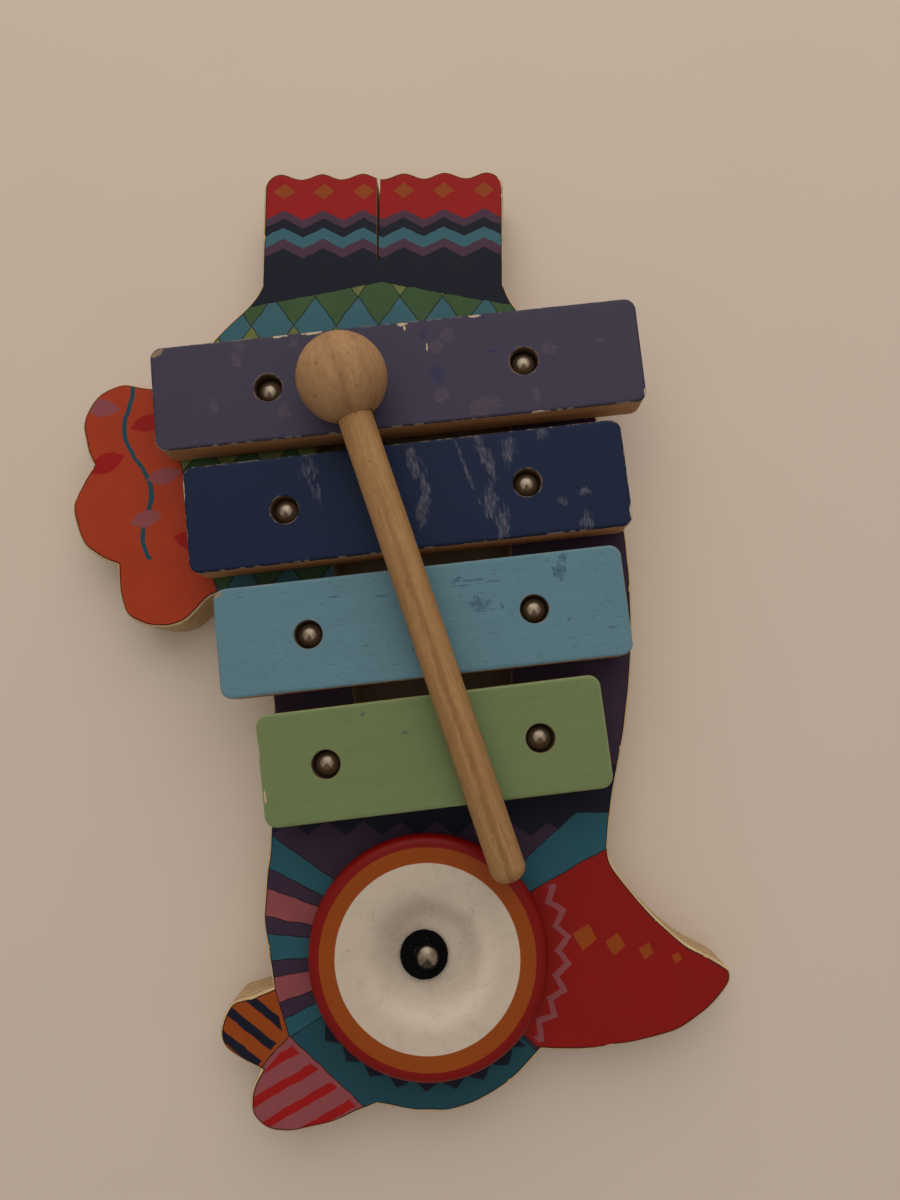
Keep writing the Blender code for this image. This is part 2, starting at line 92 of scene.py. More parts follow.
class Signal:
    """A number that varies over a surface. Arithmetic on it adds Math nodes to its material."""

    def __init__(self, recipe: "Recipe", socket: Socket) -> None:
        """Wrap one output socket of a recipe's node tree."""
        self.recipe = recipe
        self.socket = socket

    def maths(self, operation: str, *values: Source) -> "Signal":
        """Add a Math node.

        Args:
            operation: The Math node's operation.
            values: What goes into its sockets, in order.

        Returns:
            The node's result.
        """
        inputs = dict(enumerate(values))
        node = self.recipe.node("ShaderNodeMath", {"operation": operation}, inputs)
        return Signal(self.recipe, node.outputs[0])

    def __add__(self, other: Source) -> "Signal":
        """Sum."""
        return self.maths("ADD", self, other)

    __radd__ = __add__

    def __sub__(self, other: Source) -> "Signal":
        """Difference."""
        return self.maths("SUBTRACT", self, other)

    def __rsub__(self, other: Source) -> "Signal":
        """Difference from a plain number."""
        return self.maths("SUBTRACT", other, self)

    def __mul__(self, other: Source) -> "Signal":
        """Product."""
        return self.maths("MULTIPLY", self, other)

    __rmul__ = __mul__

    def __truediv__(self, other: Source) -> "Signal":
        """Quotient."""
        return self.maths("DIVIDE", self, other)

    def __pow__(self, other: Source) -> "Signal":
        """Power."""
        return self.maths("POWER", self, other)

    def __abs__(self) -> "Signal":
        """Size without its sign."""
        return self.maths("ABSOLUTE", self)

    def at_least(self, other: Source) -> "Signal":
        """The larger of the two: the union of two shapes that are positive inside."""
        return self.maths("MAXIMUM", self, other)

    def at_most(self, other: Source) -> "Signal":
        """The smaller of the two: the overlap of two shapes that are positive inside."""
        return self.maths("MINIMUM", self, other)

    def sine(self) -> "Signal":
        """Sine of an angle in radians."""
        return self.maths("SINE", self)

    def floor(self) -> "Signal":
        """Largest whole number below."""
        return self.maths("FLOOR", self)

    def remainder(self, divisor: float) -> "Signal":
        """What is left after whole divisors, never negative."""
        return self.maths("FLOORED_MODULO", self, divisor)

    def zigzag(self, period: float, height: float) -> "Signal":
        """A triangle wave from 0 to the height, 0 at whole periods."""
        return self.maths("PINGPONG", self, period / 2) * (2 * height / period)

    def above(self, level: float, softness: float) -> "Signal":
        """A mask that rises smoothly from 0 to 1 across a level.

        Args:
            level: Where the mask is one half.
            softness: Distance from there to 0 and to 1.

        Returns:
            The mask.
        """
        limits = {"Value": self, "From Min": level - softness, "From Max": level + softness}
        node = self.recipe.node("ShaderNodeMapRange", {"interpolation_type": "SMOOTHSTEP"}, limits)
        return Signal(self.recipe, node.outputs["Result"])


@dataclass
class Look:
    """What a finish says about a surface: colour, roughness, and relief in millimetres."""

    colour: Source
    roughness: Source
    height: Source


class Recipe:
    """The nodes of one material or of the sky, with patterns in millimetres."""

    def __init__(self, owner: Owner, coordinates: str = "Object") -> None:
        """Start on a new material or world, whose shader is already joined to its output.

        Args:
            owner: The material or the world.
            coordinates: Which texture coordinates its patterns read.
        """
        owner.use_nodes = True
        self.owner = owner
        self.tree = owner.node_tree
        self.place = self.node("ShaderNodeTexCoord").outputs[coordinates]

    def node(
        self, kind: str, settings: dict | None = None, inputs: dict | None = None
    ) -> bpy.types.Node:
        """Add a node.

        Args:
            kind: The node's type.
            settings: Its own settings, set before its sockets. Stops are the places and
                colours of a ramp's steps.
            inputs: Values or links of its sockets, by name or number.

        Returns:
            The node.
        """
        node = self.tree.nodes.new(kind)
        for name, value in (settings or {}).items():
            if name == "stops":
                self.set_stops(node.color_ramp, value)
            else:
                setattr(node, name, value)
        for name, value in (inputs or {}).items():
            self.feed(node.inputs[name], value)
        return node

    def set_stops(self, ramp: bpy.types.ColorRamp, stops: list[tuple[float, Colour]]) -> None:
        """Give a ramp sharp steps of colour.

        Args:
            ramp: The ramp of a new node.
            stops: Each step's place and colour, in order.
        """
        ramp.interpolation = "CONSTANT"
        while len(ramp.elements) < len(stops):
            ramp.elements.new(1.0)
        for element, (place, colour) in zip(ramp.elements, stops):
            element.position = place
            element.color = (*colour, 1.0)

    def feed(self, slot: Socket, value: Source) -> None:
        """Link a socket, or write a plain value on it.

        Args:
            slot: The socket.
            value: A signal or another socket, or the plain value.
        """
        if isinstance(value, Signal):
            self.tree.links.new(value.socket, slot)
        elif isinstance(value, bpy.types.NodeSocket):
            self.tree.links.new(value, slot)
        elif slot.type == "RGBA":
            slot.default_value = (*value, 1.0)
        else:
            slot.default_value = value

    def local(self, centre: tuple = ZERO, turn: tuple = ZERO) -> Socket:
        """Coordinates in millimetres on a piece's own axes.

        Args:
            centre: The piece's origin, in metres.
            turn: Its turns about X, Y and Z, in radians.

        Returns:
            The coordinates.
        """
        return self.fitted(self.place, centre, turn, (MM, MM, MM))

    def fitted(self, vector: Socket, centre: tuple, turn: tuple, size: tuple) -> Socket:
        """Coordinates moved to a centre, turned, and divided by a size."""
        inputs = {"Vector": vector, "Location": centre, "Rotation": turn, "Scale": size}
        return self.node("ShaderNodeMapping", {"vector_type": "TEXTURE"}, inputs).outputs[0]

    def stretched(self, vector: Socket, rates: tuple) -> Socket:
        """Coordinates multiplied by a rate along each axis."""
        return self.node("ShaderNodeMapping", {}, {"Vector": vector, "Scale": rates}).outputs[0]

    def axes(self, vector: Socket) -> tuple[Signal, Signal, Signal]:
        """The three coordinates of a vector."""
        node = self.node("ShaderNodeSeparateXYZ", {}, {0: vector})
        return tuple(Signal(self, output) for output in node.outputs)

    def vectors(self, operation: str, *values: Source) -> bpy.types.Node:
        """Add a Vector Math node, with values for its sockets in order."""
        inputs = dict(enumerate(values))
        return self.node("ShaderNodeVectorMath", {"operation": operation}, inputs)

    def along(self, vector: Socket, direction: tuple) -> Signal:
        """How far a vector reaches along a direction."""
        return Signal(self, self.vectors("DOT_PRODUCT", vector, direction).outputs["Value"])

    def reach(self, vector: Socket) -> Signal:
        """Length of a vector."""
        return Signal(self, self.vectors("LENGTH", vector).outputs["Value"])

    def noise(self, vector: Socket, rates: tuple | float, detail: float = 2.0) -> Signal:
        """Cloudy noise.

        Args:
            vector: Coordinates.
            rates: About how many clouds a unit has, all round or along each axis.
            detail: How many layers of finer clouds are added.

        Returns:
            The noise, from 0 to 1.
        """
        if isinstance(rates, tuple):
            vector, rates = self.stretched(vector, rates), 1.0
        inputs = {"Vector": vector, "Scale": rates, "Detail": detail}
        return Signal(self, self.node("ShaderNodeTexNoise", {}, inputs).outputs[0])

    def speck(self, vector: Socket, rate: float, size: float) -> Signal:
        """Scattered round specks: 1 inside, with one speck in each cell."""
        node = self.node("ShaderNodeTexVoronoi", {}, {"Vector": vector, "Scale": rate})
        return 1.0 - Signal(self, node.outputs["Distance"]).above(size, size * 0.4)

    def mix(self, mask: Source, under: Source, over: Source) -> Socket:
        """Colour under a mask of 0, turning to the colour over at 1."""
        settings = {"data_type": "RGBA"}
        return self.node("ShaderNodeMix", settings, {0: mask, 6: under, 7: over}).outputs[2]

    def dim(self, colour: Source, factor: Signal) -> Socket:
        """A colour made darker or lighter by a factor."""
        inputs = {0: colour, "Scale": factor}
        return self.node("ShaderNodeVectorMath", {"operation": "SCALE"}, inputs).outputs[0]

    def cover(self, mask: Signal, under: Look, over: Look) -> Look:
        """Lay one look over another.

        Args:
            mask: Where the upper look shows.
            under: The lower look.
            over: The upper look.

        Returns:
            The two looks in one.
        """
        return Look(
            self.mix(mask, under.colour, over.colour),
            over.roughness * mask + under.roughness * (1.0 - mask),
            over.height * mask + under.height * (1.0 - mask),
        )

    def finish(self, look: Look, metal: Source = 0.0, **constants: float) -> bpy.types.Material:
        """Join a look to the shader.

        Args:
            look: What the surface is like.
            metal: How far it is bare metal.
            constants: Values of other sockets of the shader, with _ for a space in a name.

        Returns:
            The finished material.
        """
        shader = self.tree.nodes["Principled BSDF"]
        for name, value in constants.items():
            shader.inputs[name.replace("_", " ")].default_value = value
        self.feed(shader.inputs["Base Color"], look.colour)
        self.feed(shader.inputs["Roughness"], look.roughness)
        self.feed(shader.inputs["Metallic"], metal)
        bump = self.node("ShaderNodeBump", {}, {"Height": look.height, "Distance": MM})
        self.feed(shader.inputs["Normal"], bump.outputs[0])
        return self.owner


def new_recipe(name: str) -> Recipe:
    """A recipe on a new material."""
    return Recipe(bpy.data.materials.new(name))


# Finishes


@dataclass(frozen=True)
class Timber:
    """Bare wood grained along X: rings about a distant heart, fibres, and pores in dashes."""

    light: Colour
    dark: Colour
    ring_pitch: float = 3.2
    heart: Point = (24.0, 31.0)
    ring_share: float = 0.55
    fibre_share: float = 0.45
    streak_share: float = 1.1
    pore_share: float = 0.35
    cloud_share: float = 0.6
    ring_sway: float = 7.0
    ring_power: float = 2.2
    tone: float = 0.17

    def look(self, recipe: Recipe, vector: Socket) -> Look:
        """Wood whose rings are the sine of the distance from the heart.

        Args:
            recipe: The material's recipe.
            vector: Coordinates in millimetres.

        Returns:
            The wood's look.
        """
        _, y, z = recipe.axes(vector)
        drift = recipe.noise(vector, (0.018, 0.12, 0.12), 3.0)
        across = (y + self.heart[0]) ** 2.0 + (z + self.heart[1]) ** 2.0
        distance = across ** 0.5 + drift * self.ring_sway
        wave = (distance * (math.tau / self.ring_pitch)).sine()
        ring = (wave * 0.5 + 0.5) ** self.ring_power
        fibre = recipe.noise(vector, (0.07, 2.4, 2.4), 4.0)
        streak = recipe.noise(vector, (0.035, 0.60, 0.60), 3.0)
        cloud = recipe.noise(vector, (0.03, 0.16, 0.16), 2.0)
        pore = recipe.noise(vector, (0.30, 5.0, 5.0), 1.0).above(0.70, 0.04) * self.pore_share
        tone = ring * self.ring_share * 0.5 + (fibre - 0.5) * self.fibre_share
        tone = tone + (streak - 0.5) * self.streak_share
        tone = tone + (cloud - 0.5) * self.cloud_share + self.tone
        colour = recipe.dim(recipe.mix(tone, self.light, self.dark), 1.0 - pore)
        return Look(colour, 0.56 + fibre * 0.16, fibre * 0.05 - pore * 0.12)


@dataclass(frozen=True)
class Plywood:
    """Thin plies that lie flat, grained along X and Y by turns, with dark glue between."""

    long_grain: Timber
    cross_grain: Timber
    glue: Colour
    ply: float = 1.64
    glue_share: float = 0.055

    def look(self, recipe: Recipe, vector: Socket) -> Look:
        """Plies that are counted up from z = 0.

        Args:
            recipe: The material's recipe.
            vector: Coordinates in millimetres.

        Returns:
            The plywood's look.
        """
        _, _, z = recipe.axes(vector)
        count = z / self.ply
        odd = count.floor().remainder(2.0)
        turned = recipe.fitted(vector, ZERO, (0.0, 0.0, math.pi / 2), ONE)
        long_grain = self.long_grain.look(recipe, vector)
        look = recipe.cover(odd, long_grain, self.cross_grain.look(recipe, turned))
        ragged = recipe.noise(vector, 0.9, 2.0) * 0.05
        line = abs(count.remainder(1.0) - 0.5).above(0.5 - self.glue_share, 0.03) - ragged
        look.colour = recipe.mix(line, look.colour, self.glue)
        look.height = look.height - line * 0.05
        return look


@dataclass(frozen=True)
class Stroke:
    """How one kind of wear looks.

    Its edge is broken by noise at the grain's rates, and its inside by noise at the lines' rates.
    The relief is in millimetres.
    """

    colour: Colour
    strength: float
    softness: float
    raggedness: float
    grain: tuple[float, float, float]
    lines: tuple[float, float, float]
    broken: float = 0.0
    hollow: float = 0.0
    relief: float = 0.0

    def mask(self, recipe: Recipe, vector: Socket, inside: Signal) -> Signal:
        """How far the wear hides the paint.

        Args:
            recipe: The bar's recipe.
            vector: Coordinates in millimetres on the bar's own axes.
            inside: How far inside its marks a place is.

        Returns:
            The mask.
        """
        ragged = recipe.noise(vector, self.grain, 4.0)
        edge = inside.at_least(-1.0) + (ragged - 0.5) * self.raggedness
        mask = edge.above(0.32, self.softness)
        inner = recipe.noise(vector, self.lines, 4.0).above(0.54, 0.09)
        mask = mask * (inner * self.broken + (1.0 - self.broken))
        return mask * (1.0 - inside.above(0.50, 0.22) * self.hollow) * self.strength


class Mark(Enum):
    """Kinds of wear on a painted bar."""

    SCUFF = Stroke(
        (0.200, 0.130, 0.125), 0.38, 0.30, 1.3, (0.55, 0.9, 0.6), (1.5, 3.4, 2.0), 0.65, 0.45
    )
    CHALK = Stroke(
        (0.200, 0.180, 0.205), 0.46, 0.26, 2.0, (0.9, 0.34, 1.0), (2.4, 0.42, 1.0), 0.74
    )
    SMUDGE = Stroke(
        (0.014, 0.024, 0.080), 0.60, 0.20, 1.5, (0.8, 0.9, 0.8), (1.6, 1.8, 1.6), 0.45
    )
    CHIP = Stroke(
        (0.46, 0.35, 0.24), 1.00, 0.10, 1.1, (0.9, 0.9, 0.9), (3.0, 3.0, 3.0), relief=-0.08
    )
    RUB = Stroke(
        (0.26, 0.18, 0.11), 0.85, 0.20, 1.2, (0.9, 0.9, 0.9), (2.0, 2.0, 2.0), relief=-0.03
    )


@dataclass(frozen=True)
class Wear:
    """One mark on a bar: an ellipse in millimetres on the bar's axes, broken up by noise."""

    kind: Mark
    centre: Point
    radii: Point
    turn: float = 0.0
    share: float = 1.0

    def inside(self, recipe: Recipe, vector: Socket) -> Signal:
        """How far inside the ellipse a place is.

        Args:
            recipe: The bar's recipe.
            vector: Coordinates in millimetres on the bar's own axes.

        Returns:
            The share at the ellipse's centre, falling to 0 at its edge.
        """
        turn = (0.0, 0.0, math.radians(self.turn))
        scaled = recipe.fitted(vector, (*self.centre, 0.0), turn, (*self.radii, BIG))
        return (1.0 - recipe.reach(scaled)) * self.share


def wears(kind: Mark, *rows: tuple) -> tuple[Wear, ...]:
    """Marks of one kind. A row has the centre, the radii, and a turn and a share if given."""
    return tuple(Wear(kind, row[:2], row[2:4], *row[4:]) for row in rows)


@dataclass(frozen=True)
class BarPaint:
    """Satin paint on a bar's top, with pores, worn edges and its own marks, over bare wood."""

    colour: Colour
    marks: tuple[Wear, ...] = ()
    pore_share: float = 0.3
    edge_wear: float = 0.5
    mouth_wear: float = 0.3
    # Above zero the rounded rim's paint is lighter, a painted highlight; below zero it is darker
    painted_rim_light: float = -0.30
    # Colour of the painted shade in the nail holes' bores
    bore: Colour = (0.080, 0.045, 0.022)
    primer: Colour = (0.34, 0.27, 0.20)

    def marked(self, recipe: Recipe, vector: Socket, paint: Look, kind: Mark) -> Look:
        """Put the bar's marks of one kind on its paint.

        Args:
            recipe: The bar's recipe.
            vector: Coordinates in millimetres on the bar's own axes.
            paint: The paint so far.
            kind: The kind of mark.

        Returns:
            The marked paint.
        """
        marks = [mark.inside(recipe, vector) for mark in self.marks if mark.kind is kind]
        if not marks:
            return paint
        inside = reduce(Signal.at_least, marks)
        stroke = kind.value
        over = Look(stroke.colour, 0.62, paint.height + stroke.relief)
        return recipe.cover(stroke.mask(recipe, vector, inside), paint, over)

    def look(self, recipe: Recipe, vector: Socket, bar: "Bar") -> Look:
        """Painted top over bare sides.

        Args:
            recipe: The bar's recipe.
            vector: Coordinates in millimetres on the bar's own axes.
            bar: The bar, for its sizes.

        Returns:
            The bar's look.
        """
        x, y, z = recipe.axes(vector)
        round_x = (abs(x) - (bar.length / 2 - bar.corner_radius) / MM).at_least(0.0)
        round_y = (abs(y) - (bar.width / 2 - bar.corner_radius) / MM).at_least(0.0)
        inset = bar.corner_radius / MM - (round_x ** 2.0 + round_y ** 2.0) ** 0.5
        plan = {0: abs(x) - bar.nail_reach / MM, 1: y, 2: 0.0}
        from_axis = recipe.reach(recipe.node("ShaderNodeCombineXYZ", {}, plan).outputs[0])
        from_mouth = from_axis - (bar.bore_radius + bar.bore_lip) / MM
        cloud = recipe.noise(vector, (0.05, 0.16, 0.1), 3.0)
        brush = recipe.noise(vector, (0.12, 1.5, 1.5), 3.0)
        crumb = recipe.noise(vector, 1.7, 2.0)
        nibble = recipe.noise(vector, 0.42, 4.0)
        pore = recipe.noise(vector, (0.36, 3.6, 3.6), 2.0).above(0.69, 0.035) * self.pore_share
        rim = 1.0 - inset.above(0.60, 0.25)
        # The rounded rim's paint is scaled by the rim setting: lighter is a painted highlight
        tone = (0.88 + cloud * 0.16 + brush * 0.10) * (1.0 + rim * self.painted_rim_light)
        colour = recipe.dim(self.colour, tone - pore)
        paint = Look(colour, 0.44 + cloud * 0.14, brush * 0.03 - pore * 0.12)
        for kind in Mark:
            paint = self.marked(recipe, vector, paint, kind)
        wear_and_painted_highlight = (1.0 - inset.above(0.45, 0.15)) * nibble.above(0.56, 0.04) * self.edge_wear
        ring = (1.0 - from_mouth.above(0.10, 0.10)) * nibble.above(0.52, 0.08) * self.mouth_wear
        paint.colour = recipe.mix(wear_and_painted_highlight.at_least(ring * 0.7), paint.colour, self.primer)
        wood = BAR_TIMBER.look(recipe, vector)
        # Painted shade in the bores: their walls are darkened, more so deeper down
        bore_painted_shade = 1.0 - from_axis.above(bar.bore_radius / MM + 0.40, 0.05)
        deep = 1.0 - (z + crumb * 0.5).above(bar.thickness / MM - 1.5, 0.8)
        wood.colour = recipe.mix(bore_painted_shade * (deep * 0.19 + 0.80), wood.colour, self.bore)
        bite = (nibble - 0.62).at_least(0.0) * 4.0 * self.edge_wear + (crumb - 0.5) * 0.3
        mouth = from_mouth + 0.26 - (nibble - 0.42) * self.mouth_wear * 1.6
        kept = (inset + 0.10 - bite).at_most(mouth)
        top = (z + crumb * 0.40).above(bar.thickness / MM - 0.42, 0.06)
        return recipe.cover(kept.above(0.0, 0.10) * top, wood, paint)


@dataclass(frozen=True)
class Steel:
    """Nickelled nail steel, dulled by handling, with a painted dark reflection round the edge of
    the head.
    """

    tone: Colour = (0.30, 0.260, 0.205)
    dull: Colour = (0.13, 0.100, 0.072)
    # Colour of the painted dark reflection round the head and in its wedge
    grime_and_painted_dark: Colour = (0.062, 0.034, 0.014)
    painted_ring_share: float = 0.96
    # Radius in millimetres where the painted dark reflection begins, its shift along Y, and the
    # slope of its wedge
    painted_ring_radius: float = 1.95
    painted_ring_shift: float = 0.0
    painted_wedge_slope: float = 0.45

    def material(self, name: str, centre: Point) -> bpy.types.Material:
        """Metal with a spot of bare steel, its radius in millimetres, with painted dark reflection
        round it and in a wedge below it.

        Args:
            name: The finish's name.
            centre: The nail's axis.

        Returns:
            The finish.
        """
        recipe = new_recipe(name)
        vector = recipe.local((centre[0], centre[1] + self.painted_ring_shift * MM, 0.0))
        stain = recipe.noise(vector, 0.55, 3.0).above(0.55, 0.14)
        scratch = recipe.noise(vector, (0.8, 7.0, 3.0), 2.0)
        reach = recipe.reach(recipe.stretched(vector, FLATTENED))
        # Painted dark reflection: outside the spot the head is darkened and loses its metal
        painted_ring = (reach + stain * 0.2).above(self.painted_ring_radius, 0.22) * self.painted_ring_share
        x, y, _ = recipe.axes(vector)
        blot = recipe.noise(vector, 0.9, 4.0)
        # Painted dark reflection in a wedge on the lower side of the spot
        painted_wedge = (0.15 - y * self.painted_wedge_slope - abs(x + (blot - 0.5) * 1.5)).above(0.0, 0.30)
        painted_wedge = painted_wedge * (0.0 - y).above(0.10, 0.35) * 0.80
        colour = recipe.mix(stain * 0.5, self.tone, self.dull)
        colour = recipe.mix(painted_ring, recipe.mix(painted_wedge, colour, self.grime_and_painted_dark), self.grime_and_painted_dark)
        look = Look(colour, 0.42 + stain * 0.08 + painted_ring * 0.15, scratch * 0.006 + stain * 0.01)
        return recipe.finish(look, (1.0 - painted_ring) * (1.0 - painted_wedge * 0.8), Specular_IOR_Level=0.1)


@dataclass(frozen=True)
class Felt:
    """Black felt with lint on it."""

    tone: Colour = (0.003, 0.003, 0.003)
    fibre: Colour = (0.011, 0.010, 0.010)
    lint: Colour = (0.20, 0.20, 0.20)

    def material(self, name: str) -> bpy.types.Material:
        """Matted fibres, as crossed stretched noises, with a few specks of lint.

        Args:
            name: The finish's name.

        Returns:
            The finish.
        """
        recipe = new_recipe(name)
        vector = recipe.local()
        one = recipe.noise(vector, (7.0, 1.6, 3.0), 3.0)
        other = recipe.noise(vector, (1.6, 7.0, 3.0), 3.0)
        mat = one * other * 2.0
        lint = recipe.speck(vector, 0.55, 0.045)
        colour = recipe.mix(mat.above(0.62, 0.2), self.tone, self.fibre)
        look = Look(recipe.mix(lint, colour, self.lint), 0.95, mat * 0.35)
        return recipe.finish(look, Specular_IOR_Level=0.03)


@dataclass(frozen=True)
class CymbalPaint:
    """Enamel in three rings round the cymbal's axis, with scratches, smudges, painted shade and a
    painted highlight on the white.
    """

    white: Colour = (0.508, 0.410, 0.318)
    orange: Colour = (0.250, 0.047, 0.002)
    red: Colour = (0.172, 0.002, 0.001)
    bare: Colour = (0.42, 0.40, 0.37)
    # Colour of the grime, and of the painted shade in the bowl
    grime_and_painted_dark: Colour = (0.16, 0.13, 0.10)
    white_share: float = 0.766
    orange_share: float = 0.896
    # Middles of the painted highlight band and of the painted shadow band, as shares of the
    # radius, and their half width
    painted_highlight_share: float = 0.49
    painted_shadow_share: float = 0.27
    band_share: float = 0.08
    coat: float = 0.02

    def enamel(self, name: str, centre: Vector, radius: float) -> bpy.types.Material:
        """The painted upper side. Rings are steps of the distance from the axis.

        Args:
            name: The finish's name.
            centre: The cymbal's origin.
            radius: The cymbal's radius.

        Returns:
            The finish.
        """
        recipe = new_recipe(name)
        vector = recipe.local(tuple(centre))
        unit = MM / radius
        reach = recipe.reach(recipe.stretched(vector, (unit, unit, 0.0)))
        wobble = recipe.noise(vector, 0.08, 2.0) * 0.006 - 0.003
        orange = (reach + wobble).above(self.white_share, 0.003)
        red = (reach - wobble).above(self.orange_share, 0.003)
        cloud = recipe.noise(vector, 0.09, 3.0)
        dirt = recipe.noise(vector, 0.35, 5.0)
        lower = recipe.along(vector, (0.6 * unit, -0.8 * unit, 0.0)) / reach.at_least(0.01)
        left = recipe.along(vector, (-0.9 * unit, 0.3 * unit, 0.0)) / reach.at_least(0.01)
        # Painted highlight: a band of the white made lighter, more towards +X and -Y
        wear_and_painted_highlight = self.band(reach, self.painted_highlight_share) * (0.10 + lower * 0.14)
        # Painted shadow of the felt: a band near it made darker, more towards -X
        painted_felt_shadow = self.band(reach, self.painted_shadow_share) * left.at_least(0.0) * 0.24
        # The bowl's middle is darkened: partly grime, partly painted shade of its dished wall
        bowl = 1.0 - reach.above(0.42, 0.20)
        smudge_and_painted_shade = (dirt.above(0.60, 0.12) * 0.10 + bowl * 0.15) * cloud * 1.6
        specks = recipe.speck(vector, 0.13, 0.028) + recipe.speck(vector, 0.34, 0.030) * 0.6
        hairs = self.scratches(recipe, vector)
        worn = 1.0 - reach.above(0.50, 0.20) * 0.75
        soil_and_painted_shade = (smudge_and_painted_shade + specks * 0.50 + hairs * worn * 0.62) * (1.0 - orange)
        white = recipe.mix(soil_and_painted_shade, self.white, self.grime_and_painted_dark)
        colour = recipe.mix(red, recipe.mix(orange, white, self.orange), self.red)
        colour = recipe.dim(colour, 0.95 + cloud * 0.09 + wear_and_painted_highlight - painted_felt_shadow)
        relief = orange * self.coat + red * self.coat + dirt * 0.02 - hairs * 0.03
        look = Look(colour, 0.33 + dirt * 0.14 + hairs * 0.1, relief)
        return recipe.finish(look, Specular_IOR_Level=0.14)

    def band(self, reach: Signal, middle: float) -> Signal:
        """A soft ring of the bowl, 1 at its middle."""
        return 1.0 - abs(reach - middle).above(self.band_share, self.band_share)

    def scratches(self, recipe: Recipe, vector: Socket) -> Signal:
        """Fine hairline scratches: thin ridges of noise that is stretched in three directions.

        Args:
            recipe: The enamel's recipe.
            vector: Coordinates in millimetres about the axis.

        Returns:
            The scratches' mask.
        """
        hairs = []
        for turn, level in ((0.4, 0.66), (1.6, 0.68), (2.6, 0.69)):
            turned = recipe.fitted(vector, ZERO, (0.0, 0.0, turn), PLAN)
            line = recipe.noise(turned, (0.10, 1.1, 1.0), 0.0)
            where = recipe.noise(turned, (0.12, 0.20, 1.0), 0.0).above(level, 0.02)
            hairs.append((1.0 - abs(line - 0.5).above(0.012, 0.010)) * where)
        return reduce(Signal.at_least, hairs)

    def underside(self, name: str, centre: Vector) -> bpy.types.Material:
        """The bare lower side, with the spinning lathe's fine rings.

        Args:
            name: The finish's name.
            centre: The cymbal's origin.

        Returns:
            The finish.
        """
        recipe = new_recipe(name)
        vector = recipe.local(tuple(centre))
        reach = recipe.reach(recipe.stretched(vector, FLATTENED))
        lines = (reach * 9.0 + recipe.noise(vector, 0.5, 2.0) * 2.0).sine()
        stain = recipe.noise(vector, 0.2, 4.0)
        colour = recipe.dim(self.bare, 0.8 + stain * 0.3)
        return recipe.finish(Look(colour, 0.34 + stain * 0.15, lines * 0.006), 1.0)


# Nails whose painted reflection is set apart: its spot, its dark ring and its wedge
STEELS = {
    "nail_violet_left": Steel(painted_ring_shift=-0.6),
    "nail_green_left": Steel(painted_ring_shift=0.3, painted_wedge_slope=0.85),
    "nail_green_right": Steel(painted_ring_shift=0.3, painted_wedge_slope=0.80),
    "cymbal_nail": Steel(
        tone=(0.25, 0.210, 0.165), dull=(0.09, 0.068, 0.048), grime_and_painted_dark=(0.004, 0.003, 0.003),
        painted_ring_share=1.0, painted_ring_radius=2.85, painted_wedge_slope=0.75,
    ),
}
BAR_TIMBER = Timber(light=(0.38, 0.205, 0.092), dark=(0.22, 0.105, 0.042))
HANDLE_TIMBER = Timber(
    light=(0.375, 0.200, 0.076), dark=(0.22, 0.100, 0.032), ring_pitch=6.5, heart=(2.5, 14.0),
    ring_share=0.2, fibre_share=1.1, streak_share=0.6,
)
BALL_TIMBER = Timber(
    light=(0.370, 0.203, 0.090), dark=(0.23, 0.110, 0.042), ring_pitch=8.0, heart=(9.0, 34.0),
    ring_share=0.6, fibre_share=0.7,
)
BOARD_PLY = Plywood(
    long_grain=Timber(light=(0.60, 0.43, 0.235), dark=(0.44, 0.285, 0.135), ring_pitch=6.0),
    cross_grain=Timber(light=(0.48, 0.33, 0.165), dark=(0.34, 0.21, 0.095), ring_pitch=5.0),
    glue=(0.15, 0.085, 0.04),
)


